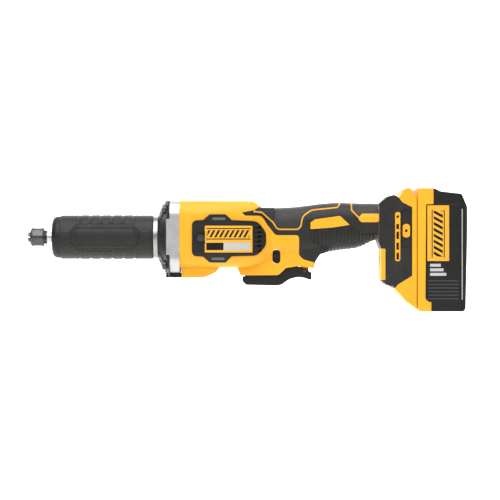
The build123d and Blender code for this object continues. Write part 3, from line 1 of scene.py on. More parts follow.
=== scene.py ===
"""Looks for a cordless die grinder: materials, the moulded rubber, labels, and the battery's relief.

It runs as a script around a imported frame, and is laid out as an add-on. Sizes are in millimetres in the
property groups and in metres once they reach a mesh. Left is -Y and right is +Y.
"""

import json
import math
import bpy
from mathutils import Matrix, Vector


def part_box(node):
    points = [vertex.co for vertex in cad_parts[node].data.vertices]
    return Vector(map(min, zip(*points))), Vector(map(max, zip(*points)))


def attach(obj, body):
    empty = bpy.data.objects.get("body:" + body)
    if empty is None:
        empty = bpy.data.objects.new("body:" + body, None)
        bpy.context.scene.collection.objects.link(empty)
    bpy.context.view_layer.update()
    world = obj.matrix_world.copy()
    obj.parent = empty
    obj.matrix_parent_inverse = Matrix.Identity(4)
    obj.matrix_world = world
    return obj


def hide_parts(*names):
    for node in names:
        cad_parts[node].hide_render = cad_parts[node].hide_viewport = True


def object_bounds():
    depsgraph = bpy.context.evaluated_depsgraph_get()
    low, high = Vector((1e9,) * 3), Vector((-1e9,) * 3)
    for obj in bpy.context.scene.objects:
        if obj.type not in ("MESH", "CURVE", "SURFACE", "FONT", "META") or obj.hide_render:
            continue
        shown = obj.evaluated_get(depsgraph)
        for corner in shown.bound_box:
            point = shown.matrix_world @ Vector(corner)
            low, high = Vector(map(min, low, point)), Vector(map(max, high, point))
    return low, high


bl_info = {
    "name": "Die grinder finishing",
    "version": (1, 0, 0),
    "blender": (4, 5, 0),
    "location": "3D View > Sidebar > Grinder",
    "description": "Builds the visible skins, labels and finishes of a cordless die grinder",
    "category": "Add Mesh",
}

import bmesh
import bpy
from bpy.props import FloatProperty, FloatVectorProperty, IntProperty, PointerProperty
from mathutils import Vector
from mathutils.bvhtree import BVHTree

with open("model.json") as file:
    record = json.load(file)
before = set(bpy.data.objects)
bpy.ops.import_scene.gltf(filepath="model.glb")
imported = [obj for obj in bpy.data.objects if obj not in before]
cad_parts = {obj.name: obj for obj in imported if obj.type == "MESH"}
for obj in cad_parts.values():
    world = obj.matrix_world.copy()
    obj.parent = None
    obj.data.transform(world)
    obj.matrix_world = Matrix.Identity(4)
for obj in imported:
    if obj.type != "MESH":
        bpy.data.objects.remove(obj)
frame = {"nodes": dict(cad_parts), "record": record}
CAD_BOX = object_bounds()
NODES = frame["nodes"]
MM = 0.001
SIDES = {"left": -1, "right": 1}


def node_box(name):
    """A node's lowest and highest corner in millimetres."""
    low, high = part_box(name)
    return low / MM, high / MM


SLEEVE_LOW, SLEEVE_HIGH = node_box("rubber_sleeve")
BARREL_LOW, BARREL_HIGH = node_box("nose_barrel")
GRIP_LOW, GRIP_HIGH = node_box("ribbed_grip_left")
COVER_LOW, COVER_HIGH = node_box("side_cover_left")

# Where the flat pieces lie on the flanks: lowest and highest X, then lowest and highest Z
LABEL = (COVER_LOW.x + 12.2, COVER_LOW.x + 57.5, -14.9, 10.6)
# Light grey slots on the cover tabs: painted glint.
TAB_SLOTS = {"upper": (178.6, 191.2, 15.9, 18.4), "lower": (177.8, 190.4, -22.0, -19.7)}
PACK_LABEL = (382.3, 404.2, -23.6, 30.6)
# Painted highlight: a light strip standing for the light caught by the battery panel's groove edge.
PACK_EDGE_HIGHLIGHT = (415.6, 416.5, -59.7, 26.7)
RIB_FIELD = (383.4, 412.8, -59.6)
CHARGE_BARS = 3
CHARGE_BAR_START = (385.5, -37.0)
CHARGE_BAR_LENGTH = 15.5
CHARGE_BAR_HEIGHT = 2.8
CHARGE_BAR_PITCH = 4.3
CHARGE_BAR_SHORTENING = 2.6


# ---- What a user may change ----
def size(name, value, description, low=0.0):
    return FloatProperty(name=name, default=value, min=low, description=description, unit="NONE")


def colour(name, value, description):
    return FloatVectorProperty(
        name=name, default=value, size=3, min=0.0, max=1.0, subtype="COLOR", description=description
    )


class GrinderColours(bpy.types.PropertyGroup):
    """The colours of every finish."""

    yellow: colour("Housing yellow", (0.93, 0.44, 0.022), "Moulded nylon of the housing")
    pack_yellow: colour("Battery yellow", (0.92, 0.46, 0.025), "Battery case and its button")
    rubber: colour("Frame rubber", (0.019, 0.019, 0.018), "Rubber frame on the handle and foot")
    pad: colour("Pad rubber", (0.036, 0.036, 0.035), "Softer grip pads and the nose sleeve")
    plastic: colour("Dark plastic", (0.015, 0.015, 0.014), "Paddle, covers and battery")
    casting: colour("Cover casting", (0.018, 0.018, 0.018), "Powder coat on the front cover")
    aluminium: colour("Motor plate", (0.60, 0.60, 0.60), "Blasted aluminium")
    steel: colour("Turned steel", (0.58, 0.57, 0.55), "Spindle and barrel")
    clamp: colour("Clamp steel", (0.40, 0.39, 0.38), "Ring behind the sleeve")
    # The rib colour is lighter than the pack plastic: a painted highlight standing in for light on the rib
    # crests.
    rib: colour("Rib plastic", (0.05, 0.05, 0.051), "Ribs on the battery")
    dark_steel: colour("Blackened steel", (0.10, 0.10, 0.105), "Clamp ring, collet and screws")
    label: colour("Label", (0.92, 0.46, 0.045), "Printed label ground")
    ink: colour("Label ink", (0.008, 0.008, 0.008), "Dark print")
    # The silver also colours the painted edge highlight line on the battery.
    silver: colour("Label silver", (0.55, 0.55, 0.54), "Light blocks on the labels")


class SleeveSizes(bpy.types.PropertyGroup):
    """The relief moulded into the nose sleeve, in millimetres."""

    frame_front: size("Frame front", 11.1, "Sleeve front to the panel frame")
    frame_rear: size("Frame rear", 13.0, "Panel frame to the sleeve rear")
    frame_half_height: size("Frame half height", 12.8, "Half height of the eight-sided frame")
    frame_corner: size("Frame corner", 8.0, "Cut corner of the frame")
    frame_width: size("Frame width", 4.2, "Width of the raised frame")
    relief: size("Relief", 0.75, "Height of the raised parts")
    bump_pitch: size("Bump pitch", 10.5, "Spacing of the finger bumps")
    rib_pitch: size("Rib pitch", 2.2, "Spacing of the short ribs")


class GripSizes(bpy.types.PropertyGroup):
    """The ribbed panel on the handle, in millimetres."""

    pitch: size("Rib pitch", 3.6, "Spacing of the upright ribs")
    depth: size("Rib depth", 1.0, "From rib crest to groove")
    voxel: size("Voxel", 0.45, "Cell size of the moulded rubber")


class BatterySizes(bpy.types.PropertyGroup):
    """The battery's outer relief, in millimetres."""

    rib_count: IntProperty(name="Ribs", default=6, min=1, description="Ribs below the label")
    rib_pitch: size("Rib pitch", 3.4, "Spacing of the ribs")
    rib_height: size("Rib height", 1.5, "Height of one rib")
    rib_proud: size("Rib proud", 0.6, "How far a rib stands out")


class StageSizes(bpy.types.PropertyGroup):
    """Camera and floor, in millimetres."""

    view_width: size("View width", 475.0, "Width that the camera frames")
    view_x: size("View X", 214.5, "Middle of the view along the tool")
    view_z: size("View Z", -12.5, "Middle of the view's height", -1000.0)
    distance: size("Camera distance", 1965.0, "From the tool to the camera")
    floor_gap: size("Floor gap", 190.0, "From the tool's lowest point to the floor")


# ---- Material parts ----
class Finish:
    """One node material, built up from its shader outwards."""

    def __init__(self, name, base, roughness, metallic=0.0, coat=0.0):
        self.material = bpy.data.materials.new(name)
        self.material.use_nodes = True
        self.nodes = self.material.node_tree.nodes
        self.links = self.material.node_tree.links
        self.shader = self.nodes["Principled BSDF"]
        self.place = self.nodes.new("ShaderNodeTexCoord").outputs["Object"]
        self.shader.inputs["Base Color"].default_value = (*base, 1)
        self.shader.inputs["Roughness"].default_value = roughness
        self.shader.inputs["Metallic"].default_value = metallic
        self.shader.inputs["Coat Weight"].default_value = coat
        if not metallic:
            self.shader.inputs["Specular IOR Level"].default_value = 0.3
        self.base = base
        self.axes = None

    def node(self, kind, settings=(), **inputs):
        made = self.nodes.new(kind)
        for key, value in settings:
            setattr(made, key, value)
        for key, value in inputs.items():
            socket = made.inputs[int(key[1:])] if key[1:].isdigit() else made.inputs[key.replace("_", " ")]
            if isinstance(value, bpy.types.NodeSocket):
                self.links.new(value, socket)
            else:
                socket.default_value = value
        return made

    def math(self, operation, *values, clamp=False):
        inputs = {f"n{index}": value for index, value in enumerate(values)}
        settings = (("operation", operation), ("use_clamp", clamp))
        return self.node("ShaderNodeMath", settings, **inputs).outputs[0]

    def noise(self, grain_mm, detail=3.0, roughness=0.55, stretch=None):
        """Noise whose blobs are about grain_mm wide, stretched along an axis if asked."""
        place = self.place
        if stretch:
            place = self.node("ShaderNodeMapping", n0=place, n3=stretch).outputs[0]
        made = self.node("ShaderNodeTexNoise", Vector=place, Scale=1 / (grain_mm * MM), Detail=detail)
        made.inputs["Roughness"].default_value = roughness
        return made.outputs["Fac"]

    def spread(self, value, low, high, start=0.3, end=0.7):
        return self.node("ShaderNodeMapRange", n0=value, n1=start, n2=end, n3=low, n4=high).outputs[0]

    def mix(self, factor, first, second):
        made = self.node("ShaderNodeMix", (("data_type", "RGBA"),))
        for socket, value in ((made.inputs[0], factor), (made.inputs[6], first), (made.inputs[7], second)):
            if isinstance(value, bpy.types.NodeSocket):
                self.links.new(value, socket)
            elif socket == made.inputs[0]:
                socket.default_value = value
            else:
                socket.default_value = (*value[:3], 1)
        return made.outputs[2]

    def vary(self, amount, grain_mm):
        """Uneven colour, lighter and darker than the base."""
        dark = [channel * (1 - amount) for channel in self.base]
        light = [min(1.0, channel * (1 + amount)) for channel in self.base]
        self.colour = self.mix(self.spread(self.noise(grain_mm), 0.0, 1.0), dark, light)
        self.links.new(self.colour, self.shader.inputs["Base Color"])
        return self

    def paint(self, mask, tint):
        """Another colour wherever the mask is 1."""
        self.colour = self.mix(mask, getattr(self, "colour", self.base), tint)
        self.links.new(self.colour, self.shader.inputs["Base Color"])
        return self

    def rough(self, low, high, grain_mm):
        self.links.new(self.spread(self.noise(grain_mm, 5.0), low, high), self.shader.inputs["Roughness"])
        return self

    def soften(self, radius_mm):
        """Rounds every sharp edge in the shading."""
        self.normal = self.node("ShaderNodeBevel", (("samples", 6),), Radius=radius_mm * MM).outputs[0]
        self.links.new(self.normal, self.shader.inputs["Normal"])
        return self

    def bump(self, height, depth_mm, strength=1.0):
        made = self.node("ShaderNodeBump", Strength=strength, Distance=depth_mm * MM, Height=height)
        if getattr(self, "normal", None):
            self.links.new(self.normal, made.inputs["Normal"])
        self.normal = made.outputs[0]
        self.links.new(self.normal, self.shader.inputs["Normal"])
        return self

    def edge_highlight_and_wear(self, tint, radius_mm, amount):
        """Lighter edges, partly a painted highlight where the edges catch the light and partly rubbed wear,
        broken up by noise.
        """
        rounded = self.node("ShaderNodeBevel", (("samples", 6),), Radius=radius_mm * MM).outputs[0]
        plain = self.node("ShaderNodeNewGeometry").outputs["True Normal"]
        agree = self.node("ShaderNodeVectorMath", (("operation", "DOT_PRODUCT"),), n0=rounded, n1=plain)
        edge = self.math("MULTIPLY", self.math("SUBTRACT", 1.0, agree.outputs["Value"]), 5.0, clamp=True)
        patchy_highlight_and_wear = self.math("MULTIPLY", edge, self.spread(self.noise(3.0, 6.0), 0.0, amount, 0.42, 0.62))
        return self.paint(patchy_highlight_and_wear, tint)

    def within(self, axis, low_mm, high_mm):
        """A mask that is 1 between two places along an axis."""
        if self.axes is None:
            self.axes = self.node("ShaderNodeSeparateXYZ", n0=self.place).outputs
        half = (high_mm - low_mm) / 2 * MM
        return self.math("COMPARE", self.axes["XYZ".index(axis)], (low_mm + high_mm) / 2 * MM, half)

    def panel(self, x_low, x_high, z_low, z_high):
        return self.math("MULTIPLY", self.within("X", x_low, x_high), self.within("Z", z_low, z_high))


def moulded_plastic(name, base, roughness, grain_mm=0.45, depth_mm=0.02, edge_mm=0.35):
    """Spark-textured moulded plastic."""
    finish = Finish(name, base, roughness).soften(edge_mm).vary(0.05, 22.0)
    finish.rough(roughness - 0.07, roughness + 0.08, 4.0)
    return finish.bump(finish.noise(grain_mm, 2.0), depth_mm, 0.5)


def moulded_rubber(name, base, roughness, grain_mm=0.7):
    """Matt rubber with a pebbled skin and a dusty sheen."""
    finish = Finish(name, base, roughness).soften(0.4).vary(0.16, 9.0)
    finish.shader.inputs["Sheen Weight"].default_value = 0.12
    finish.shader.inputs["Sheen Roughness"].default_value = 0.5
    finish.rough(roughness - 0.10, roughness + 0.08, 2.5)
    return finish.bump(finish.noise(grain_mm, 3.0), 0.035, 0.7)


def turned(finish):
    """Adds fine rings round the spindle axis."""
    return finish.bump(finish.noise(0.35, 2.0, stretch=(1.0, 0.06, 0.06)), 0.012, 0.6)


def turned_metal(name, base, roughness):
    """Turned or ground metal."""
    finish = Finish(name, base, roughness, metallic=1.0).soften(0.25).vary(0.10, 6.0)
    return turned(finish.rough(roughness - 0.08, roughness + 0.12, 1.8))


def make_finishes(colours):
    """Every finish by the name of its record slot, and a few more for new pieces."""
    made = {}
    made["yellow_plastic"] = moulded_plastic("housing_yellow", colours.yellow, 0.42, edge_mm=0.8)
    made["battery_yellow"] = moulded_plastic("pack_yellow", colours.pack_yellow, 0.40, edge_mm=1.8)
    made["pack_black"] = moulded_plastic("pack_black", colours.plastic, 0.40, 0.5, 0.03, 2.2)
    # Lighter copy of the pack plastic: painted highlight for the lit rib crests.
    made["highlit_rib_plastic"] = moulded_plastic("highlit_rib_plastic", colours.rib, 0.44, 0.5, 0.03)
    satin = Finish("satin_steel", colours.clamp, 0.36, metallic=1.0).soften(0.4).vary(0.12, 5.0)
    made["satin_steel"] = turned(satin.rough(0.30, 0.48, 1.6))
    made["black_rubber"] = moulded_rubber("frame_rubber", colours.rubber, 0.52)
    made["grey_rubber"] = moulded_rubber("pad_rubber", colours.pad, 0.58, 0.55)
    made["dark_plastic"] = moulded_plastic("dark_plastic", colours.plastic, 0.46, 0.5, 0.03)
    casting = Finish("cover_casting", colours.casting, 0.5).soften(0.5).vary(0.12, 5.0).rough(0.40, 0.58, 1.5)
    # Lighter edges on the casting: painted highlight along the edges, partly standing for rubbed wear.
    casting.edge_highlight_and_wear(colours.dark_steel, 0.5, 0.5)
    made["cover_casting"] = casting.bump(casting.noise(0.5, 2.0), 0.05, 0.6)
    plate = Finish("blasted_aluminium", colours.aluminium, 0.42, metallic=1.0).soften(0.35).vary(0.08, 7.0)
    made["plate_aluminium"] = plate.rough(0.36, 0.52, 1.2).bump(plate.noise(0.35, 2.0), 0.03, 0.5)
    made["turned_steel"] = turned_metal("turned_steel", colours.steel, 0.30)
    made["dark_steel"] = turned_metal("blackened_steel", colours.dark_steel, 0.38)
    made["bearing_steel"] = turned_metal("bearing_steel", (0.66, 0.66, 0.67), 0.18)
    made["lamination"] = turned_metal("stamped_laminations", (0.34, 0.34, 0.35), 0.40)
    copper = Finish("enamelled_copper", (0.62, 0.24, 0.08), 0.25, metallic=1.0, coat=0.6)
    copper.soften(0.3).vary(0.2, 1.5)
    made["copper"] = copper.bump(copper.noise(0.5, 1.0, stretch=(0.05, 1.0, 1.0)), 0.1, 0.8)
    board = Finish("solder_mask", (0.012, 0.14, 0.05), 0.30, coat=0.5).soften(0.2).vary(0.25, 3.0)
    made["board"] = board.bump(board.noise(1.2, 1.0), 0.03, 0.5)
    wrap = Finish("shrink_sleeve", (0.03, 0.16, 0.42), 0.28, coat=0.4).soften(0.4).vary(0.1, 12.0)
    made["cell_wrap"] = wrap.bump(wrap.noise(4.0, 2.0), 0.05, 0.4)
    felt = Finish("felt", (0.20, 0.19, 0.17), 0.95).soften(0.4).vary(0.3, 0.8)
    made["felt"] = felt.bump(felt.noise(0.3, 6.0, 0.8), 0.15, 0.9)
    lead = Finish("silicone_lead", (0.22, 0.012, 0.012), 0.45).soften(0.3).vary(0.12, 5.0)
    made["lead_cover"] = lead.bump(lead.noise(1.5, 2.0), 0.02, 0.5)
    return {slot: finish.material for slot, finish in made.items()}


def finishes():
    """The finishes, made once."""
    scene = bpy.context.scene
    if not hasattr(finishes, "made"):
        finishes.made = make_finishes(scene.grinder_colours)
    return finishes.made


# Nodes whose look is a variant of their slot's finish
REPAINTED = {"battery_cover": "pack_black", "clamp_ring": "satin_steel"}


def finish_nodes():
    """Gives each CAD node the finish that its record slot names."""
    for entry in frame["record"]["subparts"]:
        node = NODES[entry["node"]]
        node.data.materials.clear()
        slot = REPAINTED.get(entry["node"], entry["material_slot"])
        node.data.materials.append(finishes()[slot])


# ---- Mesh parts ----
def new_piece(name, mesh_maker, material, body, slot, *replaced):
    """Links a bmesh as a piece that rides on a body."""
    mesh = bpy.data.meshes.new(name)
    mesh_maker.to_mesh(mesh)
    mesh_maker.free()
    piece = bpy.data.objects.new(name, mesh)
    bpy.context.scene.collection.objects.link(piece)
    mesh.materials.append(material)
    return settle(piece, body, slot, *replaced)


def settle(piece, body, slot, *replaced):
    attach(piece, body)
    if replaced:
        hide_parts(*replaced)
    return piece


def shade(piece, angle=35.0):
    """Smooth faces with creases kept sharp."""
    mesh = piece.data
    mesh.polygons.foreach_set("use_smooth", [True] * len(mesh.polygons))
    made = bmesh.new()
    made.from_mesh(mesh)
    for edge in made.edges:
        edge.smooth = len(edge.link_faces) == 2 and edge.calc_face_angle(0.0) < math.radians(angle)
    made.to_mesh(mesh)
    made.free()
    return piece


def bevel(piece, width_mm, segments=2, angle=40.0):
    modifier = piece.modifiers.new("Bevel", "BEVEL")
    modifier.width = width_mm * MM
    modifier.segments = segments
    modifier.limit_method = "ANGLE"
    modifier.angle_limit = math.radians(angle)
    modifier.harden_normals = False
    return piece


def step_up(value, edge, width=0.5):
    """0 below the edge and 1 above it, with a smooth flank."""
    t = min(1.0, max(0.0, (value - edge) / width + 0.5))
    return t * t * (3 - 2 * t)


def between(value, low, high, width=0.5):
    return step_up(value, low, width) * (1 - step_up(value, high, width))


def tree_of(node):
    """A search tree over a CAD node's surface, in metres."""
    made = bmesh.new()
    made.from_mesh(NODES[node].data)
    tree = BVHTree.FromBMesh(made)
    made.free()
    return tree


def surface_y(trees, x, z, side):
    """How far out a flank's surface lies, in metres."""
    hits = []
    for tree in trees:
        hit = tree.ray_cast(Vector((x * MM, side * 0.2, z * MM)), Vector((0, -side, 0)))
        if hit[0] is not None:
            hits.append(abs(hit[0].y))
    return max(hits) if hits else None


def flank_plate(outline, low_x, high_x, trees, side, proud_mm, columns=48, rows=10, bury_mm=0.4):
    """A thin plate that lies on a flank: outline(x) gives its lowest and highest Z."""
    made = bmesh.new()
    outer, inner = [], []
    for column in range(columns + 1):
        x = low_x + (high_x - low_x) * (0.5 - 0.5 * math.cos(math.pi * column / columns))
        low, high = outline(x)
        outer.append([])
        inner.append([])
        for row in range(rows + 1):
            z = low + (high - low) * row / rows
            y = surface_y(trees, x, z, side)
            if y is None:
                raise RuntimeError(f"no surface under the plate at {x:.1f}, {z:.1f}")
            outer[-1].append(made.verts.new((x * MM, side * (y + proud_mm * MM), z * MM)))
            inner[-1].append(made.verts.new((x * MM, side * (y - bury_mm * MM), z * MM)))
    for i in range(columns):
        for j in range(rows):
            for grid in (outer, inner):
                made.faces.new((grid[i][j], grid[i + 1][j], grid[i + 1][j + 1], grid[i][j + 1]))
        for j in (0, rows):
            made.faces.new((outer[i][j], outer[i + 1][j], inner[i + 1][j], inner[i][j]))
    for i in (0, columns):
        for j in range(rows):
            made.faces.new((outer[i][j], outer[i][j + 1], inner[i][j + 1], inner[i][j]))
    bmesh.ops.recalc_face_normals(made, faces=made.faces)
    return made


def rounded(low_x, high_x, low_z, high_z, corner):
    """The outline of a rectangle with round corners, as a function of x."""
    def outline(x):
        reach = min(x - low_x, high_x - x)
        cut = 0.0
        if reach < corner:
            cut = corner - math.sqrt(max(0.0, corner ** 2 - (corner - reach) ** 2))
        return low_z + cut, high_z - cut
    return outline


def moulded_copy(node, voxel_mm, relief):
    """A fine even mesh of a CAD node, with each point moved along its normal by relief(point, normal)."""
    made = bmesh.new()
    made.from_mesh(NODES[node].data)
    bmesh.ops.remove_doubles(made, verts=made.verts, dist=0.005 * MM)
    mesh = bpy.data.meshes.new(node)
    made.to_mesh(mesh)
    made.free()
    piece = bpy.data.objects.new(node + "_moulded", mesh)
    bpy.context.scene.collection.objects.link(piece)
    remesh = piece.modifiers.new("Voxels", "REMESH")
    remesh.mode = "VOXEL"
    remesh.voxel_size = voxel_mm * MM
    graph = bpy.context.evaluated_depsgraph_get()
    fine = bpy.data.meshes.new_from_object(piece.evaluated_get(graph))
    piece.modifiers.remove(remesh)
    piece.data = fine
    lifts = [relief(vertex.co / MM, vertex.normal) * MM for vertex in fine.vertices]
    moved = [vertex.co + vertex.normal * lift for vertex, lift in zip(fine.vertices, lifts)]
    for vertex, place in zip(fine.vertices, moved):
        vertex.co = place
    fine.polygons.foreach_set("use_smooth", [True] * len(fine.polygons))
    return piece


def bar_row(name, count, start_mm, step_mm, bar_mm, material):
    """A row of equal bars made by a node tree, as a plain mesh object."""
    tree = bpy.data.node_groups.new(name, "GeometryNodeTree")
    sockets = {}
    kinds = {"Count": "NodeSocketInt", **{label: "NodeSocketVector" for label in ("Start", "Step", "Bar")}}
    for label, kind in kinds.items():
        sockets[label] = tree.interface.new_socket(label, in_out="INPUT", socket_type=kind).identifier
    tree.interface.new_socket("Geometry", in_out="OUTPUT", socket_type="NodeSocketGeometry")
    source = tree.nodes.new("NodeGroupInput")
    line = tree.nodes.new("GeometryNodeMeshLine")
    cube = tree.nodes.new("GeometryNodeMeshCube")
    instances = tree.nodes.new("GeometryNodeInstanceOnPoints")
    real = tree.nodes.new("GeometryNodeRealizeInstances")
    coat = tree.nodes.new("GeometryNodeSetMaterial")
    out = tree.nodes.new("NodeGroupOutput")
    coat.inputs["Material"].default_value = material
    tree.links.new(source.outputs["Count"], line.inputs["Count"])
    tree.links.new(source.outputs["Start"], line.inputs["Start Location"])
    tree.links.new(source.outputs["Step"], line.inputs["Offset"])
    tree.links.new(source.outputs["Bar"], cube.inputs["Size"])
    tree.links.new(line.outputs[0], instances.inputs["Points"])
    tree.links.new(cube.outputs[0], instances.inputs["Instance"])
    tree.links.new(instances.outputs[0], real.inputs[0])
    tree.links.new(real.outputs[0], coat.inputs["Geometry"])
    tree.links.new(coat.outputs[0], out.inputs[0])
    piece = bpy.data.objects.new(name, bpy.data.meshes.new(name))
    bpy.context.scene.collection.objects.link(piece)
    modifier = piece.modifiers.new("Bars", "NODES")
    modifier.node_group = tree
    modifier[sockets["Count"]] = count
    for label, value in (("Start", start_mm), ("Step", step_mm), ("Bar", bar_mm)):
        modifier[sockets[label]] = [part * MM for part in value]
    graph = bpy.context.evaluated_depsgraph_get()
    mesh = bpy.data.meshes.new_from_object(piece.evaluated_get(graph))
    piece.modifiers.remove(modifier)
    piece.data = mesh
    return piece


# ---- The nose sleeve ----
def octagon_depth(x, z, low_x, high_x, half_z, corner):
    """How deep a point lies inside an eight-sided outline, negative outside it."""
    ends, rows = min(x - low_x, high_x - x), half_z - abs(z)
    return min(ends, rows, (ends + rows - corner) / math.sqrt(2))


def sleeve_relief(x, z, sizes):
    """Height of the moulded pattern at a place on the sleeve's flank."""
    low, high = SLEEVE_LOW.x + sizes.frame_front, SLEEVE_HIGH.x - sizes.frame_rear
    depth = octagon_depth(x, z, low, high, sizes.frame_half_height, sizes.frame_corner)
    panel_half_height = sizes.frame_half_height - 3.6
    panel = min(x - low - sizes.frame_width, high - sizes.frame_width - x, panel_half_height - abs(z))
    height = 0.72
    middle = between(x, low + 4.6, high - 2.8, 1.2)
    phase = (x - low - 12.4) / sizes.bump_pitch
    away = abs(phase - round(phase)) * sizes.bump_pitch
    crest = 1 - step_up(away, 4.1, 1.6)
    flank = step_up(abs(z), sizes.frame_half_height - 0.6, 1.0)
    height -= middle * flank * (1 - crest) * 0.38
    height += middle * crest * flank * 0.18
    bar = between(abs(z), sizes.frame_half_height - 0.9, sizes.frame_half_height + 0.5, 0.5)
    height += middle * bar * (1 - step_up(away, 2.9, 0.5)) * 0.36
    rib = z / sizes.rib_pitch
    near_rib = 1 - step_up(abs(rib - round(rib)) * sizes.rib_pitch, 0.6, 0.5)
    in_rows = step_up(sizes.rib_pitch * 2.5 - abs(z), 0, 0.5)
    front, rear = between(x, SLEEVE_LOW.x + 2.2, low - 2.4), between(x, high + 2.6, SLEEVE_HIGH.x - 3.0)
    height += near_rib * in_rows * (front + rear) * 0.5
    height -= between(depth, -0.75, 0.25, 0.5) * 0.6
    height -= between(depth, 1.3, 2.0, 0.4) * 0.3
    height += between(panel, -0.9, -0.1, 0.4) * 0.25
    height -= step_up(panel, 0.1, 0.4) * 0.8
    return height


def ring_point(made, x, radius, angle):
    """A vertex on a circle round the spindle axis."""
    return made.verts.new((x * MM, radius * math.cos(angle) * MM, radius * math.sin(angle) * MM))


def nose_sleeve(sizes):
    """A closed tube with the pattern raised on its outside, the same on both flanks."""
    steps, turns = 236, 292
    outer = SLEEVE_HIGH.z
    inner = BARREL_HIGH.z
    made = bmesh.new()
    rings = []
    for i in range(steps + 1):
        x = SLEEVE_LOW.x + (SLEEVE_HIGH.x - SLEEVE_LOW.x) * i / steps
        near = min(x - SLEEVE_LOW.x, SLEEVE_HIGH.x - x)
        edge = 0.9 * (1 - math.sqrt(max(0.0, 1 - max(0.0, 1 - near) ** 2)))
        ring = []
        for j in range(turns):
            angle = math.tau * j / turns
            lift = (sleeve_relief(x, outer * math.sin(angle), sizes) - 0.95) * sizes.relief / 0.75
            radius = outer + min(0.0, lift) - edge
            ring.append(ring_point(made, x, radius, angle))
        rings.append(ring)
    for x in (SLEEVE_HIGH.x, SLEEVE_LOW.x):
        rings.append([ring_point(made, x, inner, math.tau * j / turns) for j in range(turns)])
    for first, second in zip(rings, rings[1:] + rings[:1]):
        for j in range(turns):
            k = (j + 1) % turns
            made.faces.new((first[j], first[k], second[k], second[j]))
    bmesh.ops.recalc_face_normals(made, faces=made.faces)
    return made


class OBJECT_OT_nose_sleeve(bpy.types.Operator):
    """Build the moulded rubber sleeve round the nose"""

    bl_idname = "grinder.nose_sleeve"
    bl_label = "Nose sleeve"

    def execute(self, context):
        made = nose_sleeve(context.scene.grinder_sleeve)
        rubber = finishes()["black_rubber"]
        shade(new_piece("nose_sleeve", made, rubber, "root", "black_rubber", "rubber_sleeve"), 50)
        return {"FINISHED"}


# ---- The ribbed grip ----
class OBJECT_OT_ribbed_grips(bpy.types.Operator):
    """Mould upright ribs into the two panels under the handle"""

    bl_idname = "grinder.ribbed_grips"
    bl_label = "Ribbed grips"

    def execute(self, context):
        sizes = context.scene.grinder_grip
        middle_z = (GRIP_LOW.z + GRIP_HIGH.z) / 2

        def relief(place, normal):
            outward = Vector((0, place.y, (place.z - middle_z) * 0.9)).normalized()
            facing = step_up(normal.dot(outward), 0.35, 0.5)
            phase = (place.x - GRIP_LOW.x - 1.0) / sizes.pitch
            away = abs(phase - round(phase)) * 2
            inset = step_up(min(place.x - GRIP_LOW.x, GRIP_HIGH.x - place.x), 1.2, 1.6)
            return -sizes.depth * facing * inset * step_up(1 - away, 0.62, 0.75)

        for name in SIDES:
            node = f"ribbed_grip_{name}"
            piece = moulded_copy(node, sizes.voxel, relief)
            piece.name = f"moulded_grip_{name}"
            piece.data.materials.clear()
            piece.data.materials.append(finishes()["black_rubber"])
            settle(piece, "root", "black_rubber", node)
        return {"FINISHED"}


# ---- Labels on the side covers ----
def label_ink(colours):
    """Printed label: a light ground with two ruled lines, a striped band and two blocks."""
    low_x, high_x, low_z, high_z = LABEL
    ink = Finish("printed_label", colours.label, 0.30, coat=0.35).vary(0.03, 14.0)
    for z in (high_z - 2.7, high_z - 12.7):
        ink.paint(ink.panel(low_x + 1.6, high_x - 1.8, z - 0.5, z + 0.5), colours.ink)
    ink.paint(ink.panel(low_x + 1.4, low_x + 17.8, low_z + 2.3, low_z + 9.3), colours.ink)
    ink.paint(ink.panel(low_x + 17.8, high_x - 2.2, low_z + 2.3, low_z + 9.3), colours.silver)
    ink.axes = ink.axes or ink.node("ShaderNodeSeparateXYZ", n0=ink.place).outputs
    slant = ink.math("ADD", ink.axes[0], ink.math("MULTIPLY", ink.axes[2], -0.55))
    stripe = ink.math("PINGPONG", slant, 2.3 * MM)
    dark = ink.math("GREATER_THAN", stripe, 1.15 * MM)
    band = ink.panel(low_x + 2.4, high_x - 3.0, high_z - 11.2, high_z - 4.2)
    ink.paint(ink.math("MULTIPLY", dark, band), colours.ink)
    ink.bump(ink.noise(2.5, 2.0), 0.02, 0.3)
    return ink.material


class OBJECT_OT_side_labels(bpy.types.Operator):
    """Lay a printed label on each side cover"""

    bl_idname = "grinder.side_labels"
    bl_label = "Side labels"

    def execute(self, context):
        material = label_ink(context.scene.grinder_colours)
        for name, side in SIDES.items():
            trees = [tree_of(f"side_cover_{name}")]
            made = flank_plate(rounded(*LABEL, 0.8), LABEL[0], LABEL[1], trees, side, 0.22)
            piece = new_piece(f"side_label_{name}", made, material, "root", "yellow_plastic")
            bevel(piece, 0.08)
        return {"FINISHED"}


class OBJECT_OT_cover_slots(bpy.types.Operator):
    """Lay a light grey slot on the upper and lower tab of each side cover, a painted glint standing for light
    caught in the slots
    """

    bl_idname = "grinder.cover_slots"
    bl_label = "Cover slots"

    def execute(self, context):
        slot_glint = moulded_plastic("painted_slot_glint", (0.13, 0.13, 0.13), 0.35)
        for name, side in SIDES.items():
            trees = [tree_of(f"side_cover_{name}")]
            for level, box in TAB_SLOTS.items():
                made = flank_plate(rounded(*box, 1.1), box[0], box[1], trees, side, 0.18)
                new_piece(f"tab_slot_{level}_{name}", made, slot_glint.material, "root", "dark_plastic")
        return {"FINISHED"}


